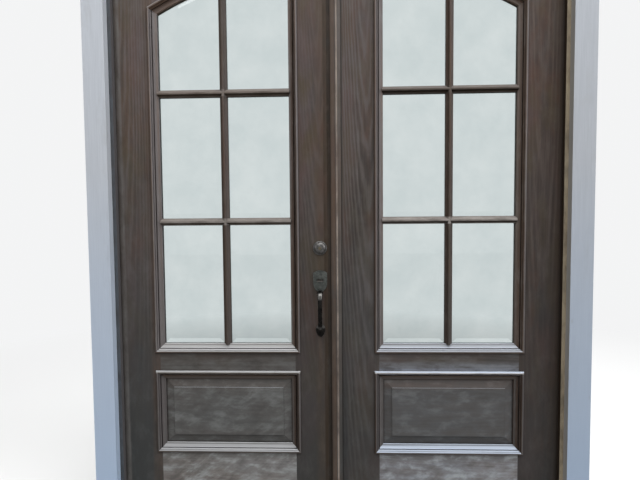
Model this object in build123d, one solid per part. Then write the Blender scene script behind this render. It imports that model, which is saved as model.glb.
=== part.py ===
"""Inswing pair of arched-lite french doors in their frame, without the wall.

Millimetres. X runs along the width, to the right seen from outside, Y from outside to
inside, and Z up. The outside faces of the leaves lie in the plane Y = 0, the centre of
the opening is X = 0, and the sill's underside is Z = 0.
"""

from build123d import *
import math
import os

# Leaves
leaf_w = 914.0
leaf_h = 2438.0
leaf_t = 44.5
leaf_z = 44.0
edge_gap = 3.0
seat_gap = 0.3
stile_w = 170.0
bottom_rail_h = 270.0
panel_open_h = 312.0
middle_rail_h = 117.0
tenon_l = 60.0
tenon_t = 14.0
tenon_shoulder = 28.0

# Arched light
sight_radius = 1500.0
crown_rail_h = 154.0
top_pane_share = 0.62
muntin_w = 30.0
muntin_nose = 10.0
muntin_proud = 2.0
web_t = 5.0
pane_edge_t = 3.5
pane_bevel_h = 2.5
pane_bevel_w = 20.0
pane_back = 25.25

# Mouldings round the light and the panel
moulding_w = 37.0
moulding_lap = 20.0
moulding_proud = 9.0
bead_w = 11.0
quirk_w = 2.0

# Raised panel
tongue_t = 10.0
tongue_l = 9.0
groove_l = 11.0
panel_bevel_w = 36.0
panel_step = 4.0
field_depth = 4.5

# Astragal on the right leaf
stem_t = 8.0
flange_w = 42.0
flange_lap = 17.0
flange_edge_t = 6.0
flange_t = 17.0
flange_clear = 0.4

# Jambs and head
jamb_t = 19.0
stop_t = 12.7
stop_gap = 4.0
jamb_front = 25.0
kerf_w = 3.0
kerf_l = 9.0
strip_w = 9.0
screw_hole_d = 6.0
screw_hole_zs = (600.0, 1900.0)

# Casings
casing_w = 89.0
casing_t = 34.0
casing_reveal = 15.0

# Sill
sill_nose = 96.0
sill_nose_h = 14.0
sill_back_h = 28.0
deck_t = 2.5
riser_h = 38.0
riser_front = 6.0

# Hinges
hinge_h = 102.0
hinge_count = 4
hinge_plate_t = 2.5
hinge_plate_l = 46.0
barrel_r = 6.0
barrel_off = 6.5
barrel_sides = 12
pin_r = 3.0
pin_head_h = 4.0
knuckles = 3
knuckle_gap = 0.3
bore_fit = 0.05
hinge_low = 254.0
hinge_high = 178.0

# Lock set on the left leaf
backset = 63.5
deadbolt_h = 1119.0
lock_spacing = 139.7
rosette_d = 58.0
rosette_t = 13.0
rosette_sides = 24
plug_d = 13.0
plate_w = 58.0
plate_h = 84.0
plate_t = 6.0
plug_back = 12.0
plug_cam_d = 20.0
knob_d = 56.0
knob_reach = 62.0
knob_neck_d = 20.0
turn_shaft_d = 10.0
thumb_pin_r = 1.5
thumb_slot_w = 25.0
thumb_slot_h = 12.0
grip_reach = 58.0
grip_w = 20.0
grip_t = 13.0
grip_drop = 33.0
grip_l = 172.0
foot_w = 38.0
foot_h = 56.0
faceplate_h = 57.0
faceplate_w = 25.0
faceplate_t = 2.5
latch_w = 12.0
latch_h = 15.0
latch_throw = 12.0
bolt_w = 16.0
bolt_h = 25.0
bolt_throw = 25.0
bolt_l = 60.0
bolt_clear = 0.4

# Surface bolts on the right leaf
rod_w = 14.0
rod_t = 8.0
rod_clear = 0.3
rod_throw = 18.0
rod_l = 250.0
rod_x = 38.0
guide_w = 32.0
guide_t = 2.5
guide_wall = 4.0
guide_l = 16.0
keeper_h = 15.0

# Positions that follow from the sizes
seam = (stem_t + edge_gap) / 2
hinge_edge = seam + leaf_w
open_x = hinge_edge + edge_gap
leaf_top = leaf_z + leaf_h
head_z = leaf_top + edge_gap
stop_x = open_x - stop_t
jamb_x = open_x + jamb_t
open_in = seam + stile_w
open_out = hinge_edge - stile_w
reveal = moulding_w - moulding_lap
sight_in = open_in + reveal
sight_out = open_out - reveal
muntin_x = (sight_in + sight_out) / 2
panel_z = leaf_z + bottom_rail_h
rail_z = panel_z + panel_open_h
light_z = rail_z + middle_rail_h
sight_z = light_z + reveal
open_radius = sight_radius + reveal
arch_z = leaf_top - crown_rail_h - math.sqrt(open_radius**2 - open_in**2)
spring_z = arch_z + math.sqrt(sight_radius**2 - sight_out**2)
pane_h = (spring_z - sight_z - 2 * muntin_w) / (2 + top_pane_share)
row_zs = [sight_z + (pane_h + muntin_w) * n - muntin_w / 2 for n in (1, 2)]
pane_front = pane_back - pane_edge_t
pane_seat = pane_front - seat_gap
pane_seat_back = leaf_t - pane_back - seat_gap
tongue_y = (leaf_t - tongue_t) / 2
axis_x = hinge_edge + edge_gap / 2
axis_y = leaf_t + barrel_off
lock_x = -(seam + backset)
deadbolt_z = leaf_z + deadbolt_h
latch_z = deadbolt_z - lock_spacing


def slab(x0, x1, y0, y1, z0, z1):
    """A block between two corners."""
    centre = Pos((x0 + x1) / 2, (y0 + y1) / 2, (z0 + z1) / 2)
    return centre * Box(abs(x1 - x0), abs(y1 - y0), abs(z1 - z0))


def bar(axis, centre, radius, low, high):
    """A round bar along one axis, from low to high on it."""
    x, y, z = centre
    turn = {"X": Rot(0, 90, 0), "Y": Rot(-90, 0, 0), "Z": Rot(0, 0, 0)}[axis]
    start = {"X": (low, y, z), "Y": (x, low, z), "Z": (x, y, low)}[axis]
    round_bar = Cylinder(radius, high - low, align=(Align.CENTER, Align.CENTER, Align.MIN))
    return Pos(*start) * turn * round_bar


def face_of(start, *steps):
    """A face from straight steps (u, v) and arc steps ((u, v) midway, (u, v) end)."""
    edges = []
    here = start
    for step in steps:
        if isinstance(step[0], tuple):
            edges.append(ThreePointArc(here, step[0], step[1]))
            here = step[1]
        else:
            edges.append(Line(here, step))
            here = step
    edges.append(Line(here, start))
    return Face(Wire(edges))


def grow(face, amount, along=(0, 0, 1)):
    """A face drawn in a plane, grown along one direction."""
    return extrude(face, amount=amount, dir=along)


def biggest(shape):
    """The largest solid of a cut shape, without the slivers beside it."""
    return max(shape.solids(), key=lambda s: s.volume)


def whole(shape):
    """All the solids of a shape, as one compound or one solid."""
    solids = shape.solids()
    return solids[0] if len(solids) == 1 else Compound(children=list(solids))


def group(shapes):
    """Separate solids kept in one node."""
    solids = []
    for shape in shapes:
        solids += list(shape.solids())
    return Compound(children=solids)


def mirrored(shape):
    """The same piece on the other side of the opening."""
    return mirror(shape, about=Plane.YZ)


def inside_out(shape):
    """The same piece on the other face of a leaf."""
    return mirror(shape, about=Plane.XZ.offset(-leaf_t / 2))


def arc_height(x, radius):
    """Height of the arch of one radius over a point of the width."""
    return arch_z + math.sqrt(radius**2 - x**2)


def keep_inside(shape, outer, inner, inside):
    """The part of a stick on one side of a mitre through two corners, given as (x, z)."""
    along = (inner[0] - outer[0], inner[1] - outer[1])
    normal = (-along[1], along[0])
    reach = normal[0] * (inside[0] - outer[0]) + normal[1] * (inside[1] - outer[1])
    sign = 1 if reach > 0 else -1
    cut = Plane(
        origin=(outer[0], 0, outer[1]),
        x_dir=(0, 1, 0),
        z_dir=(sign * normal[0], 0, sign * normal[1]),
    )
    return split(shape, bisect_by=cut, keep=Keep.TOP)


def moulding_face(depth):
    """Section of a lapped moulding: a bead, a quirk and an ovolo down to the sight line."""
    shoulder = moulding_proud - 5.5
    crown = moulding_proud - 1.2
    ovolo = bead_w + quirk_w
    lip, drop = 1.5, -9.0
    run = moulding_w - lip - ovolo
    return face_of(
        (0, 0),
        (0, shoulder),
        (bead_w * 0.22, crown),
        (bead_w * 0.5, moulding_proud),
        (bead_w * 0.78, crown),
        (bead_w, shoulder - 1.2),
        (ovolo, shoulder - 1.2),
        (ovolo, moulding_proud - 2.5),
        (ovolo + run * 0.35, moulding_proud - 4.2),
        (ovolo + run * 0.7, moulding_proud - 9.0),
        (moulding_w - lip, drop),
        (moulding_w, drop - lip),
        (moulding_w, -depth),
        (moulding_lap + seat_gap, -depth),
        (moulding_lap + seat_gap, 0),
    )


def straight_stick(face, outer, inward, half):
    """A section run both ways from a point on its outer edge, inward given as (x, z)."""
    into = Vector(inward[0], 0, inward[1])
    along = into.cross(Vector(0, -1, 0))
    plane = Plane(origin=(outer[0], 0, outer[1]), x_dir=into, z_dir=along)
    return extrude(plane.location * face, amount=half, both=True)


def moulding_frame(z0, z1, depth, arched):
    """Four mitred sticks round an opening of the right leaf, on its outside face."""
    face = moulding_face(depth)
    x0, x1 = open_in - moulding_lap, open_out + moulding_lap
    low = z0 - moulding_lap
    high = z1 + moulding_lap
    outer_radius = open_radius + moulding_lap
    middle = ((x0 + x1) / 2, (low + min(high, z0 + 400)) / 2)

    def corner(x, level, step):
        """A corner of the outline step inwards from the outer edge."""
        into = x + step if x < middle[0] else x - step
        if level == "low":
            return (into, low + step)
        if arched:
            return (into, arc_height(into, outer_radius - step))
        return (into, high - step)

    corners = {
        (x, level): (corner(x, level, 0), corner(x, level, moulding_w))
        for x in (x0, x1)
        for level in ("low", "high")
    }
    sides = []
    reach = 2 * (z1 - z0) + leaf_w
    for x, inward in ((x0, (1, 0)), (x1, (-1, 0))):
        stick = straight_stick(face, (x, middle[1]), inward, reach)
        for level in ("low", "high"):
            outer, inner = corners[(x, level)]
            inside = (x, middle[1])
            stick = keep_inside(stick, outer, inner, inside)
        sides.append(stick)
    bottom = straight_stick(face, (middle[0], low), (0, 1), leaf_w)
    if arched:
        first = math.degrees(math.asin((x0 - moulding_w) / outer_radius))
        last = math.degrees(math.asin((x1 + moulding_w) / outer_radius))
        top_plane = Plane(origin=(0, 0, arch_z + outer_radius), x_dir=(0, 0, -1), z_dir=(-1, 0, 0))
        hub = Axis((0, 0, arch_z), (0, 1, 0))
        start = (top_plane.location * face).rotate(hub, first)
        top = revolve(start, axis=hub, revolution_arc=last - first)
    else:
        top = straight_stick(face, (middle[0], high), (0, -1), leaf_w)
    for x in (x0, x1):
        outer, inner = corners[(x, "low")]
        bottom = keep_inside(bottom, outer, inner, (middle[0], low))
        outer, inner = corners[(x, "high")]
        crown = arc_height(middle[0], outer_radius) if arched else high
        top = keep_inside(top, outer, inner, (middle[0], crown))
    return sides + [bottom, top]


def muntin_face(depth, web):
    """Section of a glazing bar, with a web between the panes on the outside bars."""
    half, nose = muntin_w / 2, muntin_nose / 2
    steps = [
        (-half, -12),
        (-half + 3.2, -4.5),
        (-nose, 0),
        (-nose, muntin_proud),
        (nose, muntin_proud),
        (nose, 0),
        (half - 3.2, -4.5),
        (half, -12),
        (half, -depth),
    ]
    if web:
        steps += [(web_t / 2, -depth), (web_t / 2, -web), (-web_t / 2, -web), (-web_t / 2, -depth)]
    return face_of((-half, -depth), *steps)


def glazing_bars(depth, web, round_it):
    """One upright and four cross bars of the right leaf, fitted to the moulding round them."""
    face = muntin_face(depth, web)
    top = arc_height(muntin_x, open_radius)
    middle_z = (light_z + top) / 2
    upright = straight_stick(face, (muntin_x, middle_z), (1, 0), (top - light_z) / 2)
    hole = whole(light_hole(-leaf_t, 2 * leaf_t))
    bars = [biggest((upright & hole) - group(round_it))]
    for z in row_zs:
        run = straight_stick(face, ((open_in + open_out) / 2, z), (0, 1), (open_out - open_in) / 2)
        run = run - upright - group(round_it)
        bars += sorted(run.solids(), key=lambda s: s.volume)[-2:]
    return bars


def pane_face(x0, x1, z0, z1, radius):
    """Outline of a pane, with an arched top where a radius is given."""
    if radius is None:
        return face_of((x0, z0), (x1, z0), (x1, z1), (x0, z1))
    tops = [arc_height(x, radius) for x in (x0, (x0 + x1) / 2, x1)]
    return face_of((x0, z0), (x1, z0), (x1, tops[2]), (((x0 + x1) / 2, tops[1]), (x0, tops[0])))


def at_depth(face, y):
    """A face drawn in width and height, set upright at a depth."""
    return Plane(origin=(0, y, 0), x_dir=(1, 0, 0), z_dir=(0, -1, 0)).location * face


def pane(x0, x1, z0, z1, arched, spare):
    """A bevelled pane over a sight opening, spare is what each side hides."""
    radius = sight_radius if arched else None
    edge_radius = sight_radius + spare[3] if arched else None
    edge = pane_face(x0 - spare[0], x1 + spare[1], z0 - spare[2], z1 + spare[3], edge_radius)
    plate = grow(at_depth(edge, pane_back), pane_edge_t, (0, -1, 0))
    w = pane_bevel_w
    front = pane_front - pane_bevel_h
    if not arched:
        return plate + hipped((x0 + 0.5, x1 - 0.5), (z0 + 0.5, z1 - 0.5), w - 0.5, pane_front, front)
    foot = pane_face(x0 + 0.5, x1 - 0.5, z0 + 0.5, z1 - 0.5, radius - 0.5)
    crown = pane_face(x0 + w, x1 - w, z0 + w, z1 - w, radius - w)
    return plate + loft([at_depth(foot, pane_front), at_depth(crown, front)], ruled=True)


def panes():
    """Two columns and three rows of panes of the right leaf."""
    under_bar = muntin_w / 2 - web_t / 2 - 1
    under_moulding = reveal - 2
    columns = (
        (sight_in, muntin_x - muntin_w / 2, under_moulding, under_bar),
        (muntin_x + muntin_w / 2, sight_out, under_bar, under_moulding),
    )
    half = muntin_w / 2
    rows = (
        (sight_z, row_zs[0] - half, under_moulding, under_bar),
        (row_zs[0] + half, row_zs[1] - half, under_bar, under_bar),
        (row_zs[1] + half, leaf_top, under_bar, under_moulding),
    )
    made = []
    for x0, x1, left, right in columns:
        for n, (z0, z1, under, over) in enumerate(rows):
            made.append(pane(x0, x1, z0, z1, n == 2, (left, right, under, over)))
    return made


def light_hole(y0, depth):
    """The arched opening through the right leaf, grown along Y."""
    outline = pane_face(open_in, open_out, light_z, leaf_top, open_radius)
    return grow(at_depth(outline, y0 + depth), depth, (0, -1, 0))


def tenons(z0, z1, fills_top):
    """The two tenons of a rail, one in each stile."""
    high = z1 if fills_top is None else fills_top
    y0 = (leaf_t - tenon_t) / 2
    z0, high = z0 + tenon_shoulder, high - tenon_shoulder
    return [
        slab(open_in - tenon_l, open_in, y0, y0 + tenon_t, z0, high),
        slab(open_out, open_out + tenon_l, y0, y0 + tenon_t, z0, high),
    ]


def hipped(xs, zs, w, back, front):
    """A block between two depths whose four sides slope in by w, as two crossed wedges."""
    across = face_of((xs[0], back), (xs[1], back), (xs[1] - w, front), (xs[0] + w, front))
    upward = face_of((back, zs[0]), (back, zs[1]), (front, zs[1] - w), (front, zs[0] + w))
    side = Plane(origin=(xs[0] - 1, 0, 0), x_dir=(0, 1, 0), z_dir=(1, 0, 0))
    wide = grow(side.location * upward, xs[1] - xs[0] + 2, (1, 0, 0))
    return wide & (Pos(0, 0, zs[0] - 1) * grow(across, zs[1] - zs[0] + 2))


def raised_panel():
    """The bottom panel, raised on both faces, with its tongue all round."""
    y0, y1 = tongue_y, tongue_y + tongue_t
    t = tongue_l
    body = slab(open_in - t, open_out + t, y0, y1, panel_z - t, rail_z + t)
    foot_x = (sight_in + 0.5, sight_out - 0.5)
    foot_z = (panel_z + reveal + 0.5, rail_z - reveal - 0.5)
    w = panel_bevel_w
    shoulder = field_depth + panel_step
    bevel = hipped(foot_x, foot_z, w, y0, shoulder)
    field = slab(foot_x[0] + w, foot_x[1] - w, field_depth, shoulder, foot_z[0] + w, foot_z[1] - w)
    front = bevel + field
    return body + front + inside_out(front)


def hinge_centres():
    """Heights of the hinges' middles, evenly spaced between the lowest and the highest."""
    low, high = leaf_z + hinge_low, leaf_top - hinge_high
    return [low + (high - low) * n / (hinge_count - 1) for n in range(hinge_count)]


def barrel(radius, low, high):
    """A length of the hinge barrel."""
    return Pos(axis_x, axis_y, low) * grow(RegularPolygon(radius, barrel_sides), high - low)


def hinge_plate(z, of_jamb):
    """One plate of a right hinge with its knuckles, the jamb's plate with the pin fast in them."""
    x0 = open_x if of_jamb else hinge_edge - hinge_plate_t
    x1 = x0 + hinge_plate_t
    y0 = axis_y - hinge_plate_l
    low = z - hinge_h / 2
    plate = slab(x0, x1, y0, leaf_t, low, low + hinge_h)
    length = (hinge_h - knuckle_gap * (knuckles - 1)) / knuckles
    for n in range(0 if of_jamb else 1, knuckles, 2):
        start = low + n * (length + knuckle_gap)
        plate += slab(x0, x1, leaf_t - 1, axis_y, start, start + length)
        plate += barrel(barrel_r, start, start + length)
    if of_jamb:
        plate += bar("Z", (axis_x, axis_y, 0), pin_r, low, low + hinge_h)
        return plate + barrel(barrel_r - 1, low + hinge_h, low + hinge_h + pin_head_h)
    return plate - bar("Z", (axis_x, axis_y, 0), pin_r + bore_fit, low - 1, low + hinge_h + 1)


def hinge_mortise(z, of_jamb):
    """The pocket that a hinge plate lies in."""
    x0 = open_x - 1 if of_jamb else hinge_edge - hinge_plate_t
    x1 = open_x + hinge_plate_t if of_jamb else hinge_edge + 1
    return slab(x0, x1, axis_y - hinge_plate_l, leaf_t + 1, z - hinge_h / 2, z + hinge_h / 2)


def leaf():
    """Wooden pieces, glass and hinge plates of the right leaf."""
    groove = slab(
        open_in - groove_l,
        open_out + groove_l,
        tongue_y,
        tongue_y + tongue_t,
        panel_z - groove_l,
        rail_z + groove_l,
    )
    spring = arc_height(open_out, open_radius)
    rails = {
        "bottom_rail": slab(open_in, open_out, 0, leaf_t, leaf_z, panel_z),
        "middle_rail": slab(open_in, open_out, 0, leaf_t, rail_z, light_z),
        "top_rail": slab(open_in, open_out, 0, leaf_t, spring, leaf_top) - light_hole(-1, leaf_t + 2),
    }
    low_in = arc_height(open_in, open_radius)
    joints = {
        "bottom_rail": tenons(leaf_z, panel_z, None),
        "middle_rail": tenons(rail_z, light_z, None),
        "top_rail": [
            tenons(low_in, leaf_top, None)[0],
            tenons(spring, leaf_top, None)[1],
        ],
    }
    meeting = slab(seam, open_in, 0, leaf_t, leaf_z, leaf_top) - groove
    hinge_side = slab(open_out, hinge_edge, 0, leaf_t, leaf_z, leaf_top) - groove
    made = {}
    for name, rail in rails.items():
        for tenon in joints[name]:
            rail += tenon
            meeting -= tenon
            hinge_side -= tenon
        made[name] = rail if name == "top_rail" else rail - groove
    for z in hinge_centres():
        hinge_side -= hinge_mortise(z, False)
    made["meeting_stile"] = meeting
    made["hinge_stile"] = hinge_side
    made["panel"] = raised_panel()
    seat = tongue_y - seat_gap
    outside = moulding_frame(panel_z, rail_z, seat, False)
    made["panel_moulding"] = group(outside + [inside_out(s) for s in outside])
    outside = moulding_frame(light_z, leaf_top, pane_seat, True)
    inside = moulding_frame(light_z, leaf_top, pane_seat_back, True)
    made["light_moulding"] = group(outside + [inside_out(s) for s in inside])
    web = pane_back + seat_gap
    bars = glazing_bars(pane_seat, web, outside)
    bars += [inside_out(s) for s in glazing_bars(pane_seat_back, 0, inside)]
    made["glazing_bars"] = group(bars)
    made["panes"] = group(panes())
    made["sweep"] = sweep_strip()
    made["hinge_plates"] = group([hinge_plate(z, False) for z in hinge_centres()])
    return made


def sweep_strip():
    """The strip with three fins under a leaf, which closes it against the riser."""
    fins = (9.0, 20.0, 31.0)
    fin_t, base_t = 4.0, 2.5
    strip = slab(seam + 1, hinge_edge - 1, fins[0], fins[-1] + fin_t, leaf_z - base_t, leaf_z)
    for y in fins:
        strip += slab(seam + 1, hinge_edge - 1, y, y + fin_t, riser_h + seat_gap, leaf_z)
    return strip


def astragal():
    """The T bar on the right leaf: its stem closes the seam, its flange laps the left leaf."""
    left = -(seam + flange_lap)
    right = left + flange_w
    stem_left, stem_right = seam - stem_t, seam
    crest = (stem_left + stem_right) / 2 + 1
    face = face_of(
        (stem_left, leaf_t),
        (stem_right, leaf_t),
        (stem_right, 0),
        (right, 0),
        (right, -flange_edge_t - 2),
        (crest + 4.5, -flange_t + 3.5),
        ((crest, -flange_t), (crest - 4.5, -flange_t + 3.5)),
        (left, -flange_edge_t),
        (left, -flange_clear),
        (stem_left, -flange_clear),
    )
    low, high = leaf_z, head_z - stop_t - 2
    flanged = grow(face, high - low)
    stem_top = slab(stem_left, stem_right, 0, leaf_t, high - 1, leaf_top)
    return Pos(0, 0, low) * flanged + stem_top


def side_jamb():
    """The right jamb: board, stop, kerf, hinge pockets and the holes of its wall screws."""
    jamb = slab(open_x, jamb_x, -jamb_front, leaf_t, 0, head_z + jamb_t)
    jamb += slab(stop_x, open_x, -jamb_front, -stop_gap, 0, head_z + jamb_t)
    kerf_x = open_x - 6
    jamb -= slab(kerf_x, kerf_x + kerf_w, -stop_gap - kerf_l, -stop_gap, riser_h, head_z)
    for z in hinge_centres():
        jamb -= hinge_mortise(z, True)
    for z in screw_hole_zs:
        jamb -= bar("X", (0, leaf_t / 2, z), screw_hole_d / 2, open_x - 1, jamb_x + 1)
    return jamb


def side_strip():
    """The strip in the right jamb's kerf, from the riser to under the head strip."""
    kerf_x = open_x - 6
    low, high = riser_h + seat_gap, head_z - strip_w
    strip = slab(stop_x + 1, stop_x + 1 + strip_w, -stop_gap, -seat_gap, low, high)
    return strip + slab(kerf_x, kerf_x + kerf_w, -stop_gap - kerf_l + 1, -stop_gap, low, high)


def head():
    """The head jamb between the side jambs, and its strip."""
    board = slab(-open_x, open_x, -jamb_front, leaf_t, head_z, head_z + jamb_t)
    board += slab(-open_x, open_x, -jamb_front, -stop_gap, head_z - stop_t, head_z)
    kerf_z = head_z - 6
    board -= slab(-open_x, open_x, -stop_gap - kerf_l, -stop_gap, kerf_z, kerf_z + kerf_w)
    low = head_z - stop_t + 1
    strip = slab(-stop_x, stop_x, -stop_gap, -seat_gap, low, low + strip_w)
    strip += slab(-stop_x, stop_x, -stop_gap - kerf_l + 1, -stop_gap, kerf_z, kerf_z + kerf_w)
    return board, strip


def sill(jambs):
    """Sill base, sloping deck and riser, cut round the jambs."""
    wide = jamb_x + casing_w - (jamb_x - stop_x - casing_reveal)
    base = face_of((leaf_t, 0), (leaf_t, sill_back_h), (-riser_front, sill_back_h), (-sill_nose, sill_nose_h),
                   (-sill_nose, 0))
    deck = face_of(
        (-riser_front, sill_back_h),
        (-riser_front, sill_back_h + deck_t),
        (-sill_nose - deck_t, sill_nose_h + deck_t),
        (-sill_nose - deck_t, 3),
        (-sill_nose, 3),
        (-sill_nose, sill_nose_h),
    )
    side = Plane(origin=(-wide, 0, 0), x_dir=(0, 1, 0), z_dir=(1, 0, 0))
    ends = slab(open_x, wide + 1, -jamb_front, leaf_t + 1, -1, riser_h + 20)
    made = []
    for face in (base, deck):
        run = grow(side.location * face, 2 * wide, (1, 0, 0))
        for cut in (ends, mirrored(ends), *jambs):
            run -= cut
        made.append(run)
    riser = slab(-open_x, open_x, -riser_front, leaf_t, sill_back_h, riser_h)
    riser -= slab(-open_x, open_x, 12.0, 15.0, riser_h - 1.5, riser_h)
    riser -= slab(-open_x, open_x, 23.0, 26.0, riser_h - 1.5, riser_h)
    for cut in jambs:
        riser -= cut
    made.append(riser)
    return made


def casings(sill_pieces):
    """Side casings on the sill's horns and the head casing on the side casings."""
    x0 = stop_x + casing_reveal
    y0 = -jamb_front - casing_t
    z1 = head_z - stop_t + casing_reveal
    side = slab(x0, x0 + casing_w, y0, -jamb_front, 1, z1)
    for piece in sill_pieces:
        side -= piece
    side = biggest(side)
    top = slab(-x0 - casing_w, x0 + casing_w, y0, -jamb_front, z1, z1 + casing_w)
    return side, top


def flat_sided(wide, narrow, height, sides):
    """A block of even flats that narrows upwards, standing on the plane Z = 0."""
    lean = math.degrees(math.atan((wide - narrow) * math.cos(math.pi / sides) / height))
    return extrude(RegularPolygon(wide, sides), amount=height, taper=lean)


def rosette(hole_d):
    """A round lock cover of fine flats, its rim straight and its face crowned in two slopes."""
    rim_h, slope_h = 3.5, rosette_t - 6.5
    outer, inner, crown = rosette_d / 2, rosette_d / 2 - 4, rosette_d / 2 - 12
    cover = grow(RegularPolygon(outer, rosette_sides), rim_h)
    cover += Pos(0, 0, rim_h) * flat_sided(outer, inner, slope_h, rosette_sides)
    cover += Pos(0, 0, rim_h + slope_h) * flat_sided(inner, crown, rosette_t - rim_h - slope_h, rosette_sides)
    return cover - Cylinder(hole_d / 2, 3 * rosette_t)


def outward(x, z):
    """Local X right, Y up and Z towards the outside, on the leaf's outside face."""
    return Plane(origin=(x, 0, z), x_dir=(1, 0, 0), z_dir=(0, -1, 0)).location


def inward(x, z):
    """Local X left, Y up and Z towards the inside, on the leaf's inside face."""
    return Plane(origin=(x, leaf_t, z), x_dir=(-1, 0, 0), z_dir=(0, 1, 0)).location


def handle_plate():
    """The plate over the latch, wide at the top and rounded below, with the thumb slot."""
    w, h = plate_w / 2, plate_h / 2
    face = face_of(
        (-w, h - 6),
        ((0, h + 5), (w, h - 6)),
        (w, -h * 0.15),
        ((w * 0.72, -h * 0.72), (9, -h)),
        (-9, -h),
        ((-w * 0.72, -h * 0.72), (-w, -h * 0.15)),
    )
    plate = grow(face, plate_t * 0.55)
    rim = scale(face, by=0.86)
    plate += grow(Pos(0, 0, plate_t * 0.55) * rim, plate_t * 0.45)
    plate -= Pos(0, thumb_slot_h / 2, 0) * Box(thumb_slot_w, thumb_slot_h, 4 * plate_t)
    return outward(lock_x, latch_z) * plate - thumb_pivot(thumb_pin_r + bore_fit, thumb_slot_w / 2 + 3)


def handle_grip():
    """The bowed grip from the plate out, down and back to its foot plate.

    Its side outline, a band of even thickness, meets its front outline, which swells at
    the hand and narrows to both ends.
    """
    top = -grip_drop
    foot = top - grip_l
    out, t = grip_reach, grip_t
    side = face_of(
        (0.2 + plate_t, top),
        (out * 0.45, top),
        ((out * 0.86, top - 9), (out, top - 38)),
        ((out + 2, (top + foot) / 2 + 10), (out - 3, foot + 26)),
        ((out - 12, foot + 2), (out * 0.4, foot - 6)),
        (4, foot - 6),
        (4, foot + 5),
        (out * 0.4, foot + 5),
        ((out - 20, foot + 10), (out - t - 1, foot + 28)),
        ((out - t + 2, (top + foot) / 2 + 10), (out - t, top - 38)),
        ((out * 0.74, top - 20), (out * 0.45, top - t)),
        (0.2 + plate_t, top - t),
    )
    wide, waist = grip_w / 2, grip_w / 2 - 3
    middle = (top + foot) / 2
    front = face_of(
        (waist, foot - 10),
        ((waist + 0.5, foot + 24), (wide, middle)),
        ((wide + 1, middle + 26), (waist + 1, top + 2)),
        (-waist - 1, top + 2),
        ((-wide - 1, middle + 26), (-wide, middle)),
        ((-waist - 0.5, foot + 24), (-waist, foot - 10)),
    )
    upright = Plane(origin=(-grip_w, 0, 0), x_dir=(0, 0, 1), z_dir=(-1, 0, 0))
    band = extrude(upright.location * side, amount=3 * grip_w, both=True)
    bow = band & grow(front, 2 * out)
    ends = (foot + foot_h / 2 - foot_w / 2, foot - foot_h / 2 + foot_w / 4)
    shoe = make_hull((Pos(0, ends[0]) * Circle(foot_w / 2) + Pos(0, ends[1]) * Circle(foot_w / 4)).edges())
    return outward(lock_x, latch_z) * (bow + grow(shoe, 4.5))


def thumb_pivot(radius, half):
    """The cross pin of the thumb piece, or its bore in the plate."""
    return outward(lock_x, latch_z + thumb_slot_h / 2) * bar("X", (0, 0, plate_t / 2), radius, -half, half)


def thumb_piece():
    """The thumb lever: a dished tongue with a round root, on a cross pin in the plate."""
    root = plate_t / 2
    face = face_of(
        (root, -2.6),
        (8, -3.5),
        ((26, -6), (42, -2)),
        (43, 1.5),
        ((26, -2), (9, 1.5)),
        (root, 2.6),
    )
    half = thumb_slot_w / 2 - seat_gap
    blade = Plane(origin=(-half, 0, 0), x_dir=(0, 0, 1), z_dir=(1, 0, 0)).location * face
    lever = outward(lock_x, latch_z + thumb_slot_h / 2) * grow(blade, 2 * half, (1, 0, 0))
    return lever + thumb_pivot(2.6, half) + thumb_pivot(thumb_pin_r, half + 2.5)


def edge_plate(x0, x1, z, hole_y, hole_z):
    """A face plate let into an edge of a leaf, with the hole of its bolt."""
    y = leaf_t / 2
    plate = slab(x0, x1, y - faceplate_w / 2, y + faceplate_w / 2, z - faceplate_h / 2, z + faceplate_h / 2)
    return plate - slab(x0 - 1, x1 + 1, y - hole_y / 2, y + hole_y / 2, z - hole_z / 2, z + hole_z / 2)


def inside_knob():
    """A door knob of eight flats on a round neck, turning in its rose."""
    wide, neck_end, shoulder, crown = knob_d / 2, knob_reach * 0.44, knob_reach * 0.63, knob_reach * 0.8
    neck = Pos(0, 0, 4) * Cylinder(knob_neck_d / 2, neck_end, align=(Align.CENTER,) * 2 + (Align.MIN,))
    back = Rot(180, 0, 0) * flat_sided(wide, wide * 0.5, shoulder - neck_end, 8)
    front = flat_sided(wide, wide * 0.62, knob_reach - crown, 8)
    belt = grow(RegularPolygon(wide, 8), crown - shoulder)
    knob = neck + Pos(0, 0, shoulder) * (back + belt) + Pos(0, 0, crown) * front
    return inward(lock_x, latch_z) * knob


def thumb_turn():
    """The inside turn of the dead bolt: a shaft and an upright wing."""
    shaft = Pos(0, 0, 2) * Cylinder(turn_shaft_d / 2, rosette_t + 4, align=(Align.CENTER,) * 2 + (Align.MIN,))
    wing = Pos(0, 0, rosette_t + 2) * grow(SlotOverall(34, 11, rotation=90), 18)
    return inward(lock_x, deadbolt_z) * (shaft + wing)


def key_plug():
    """The lock cylinder's plug with its key slot, and the cam on its back end."""
    on_end = (Align.CENTER, Align.CENTER, Align.MIN)
    plug = Pos(0, 0, -plug_back) * Cylinder(plug_d / 2, plug_back + rosette_t + 1, align=on_end)
    plug += Pos(0, 0, -plug_back) * Cylinder(plug_cam_d / 2, plug_back / 2, align=on_end)
    slot = Pos(0, 0, rosette_t + 1) * Box(1.6, 8.5, 8)
    return outward(lock_x, deadbolt_z) * (plug - slot)


def slide_space(clear, low, high):
    """The flat bar of a surface bolt, or the slot that it slides in."""
    y0 = leaf_t + guide_t + rod_clear
    half = rod_w / 2 + clear
    return slab(rod_x - half, rod_x + half, y0 - clear, y0 + rod_t + clear, low, high)


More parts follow.
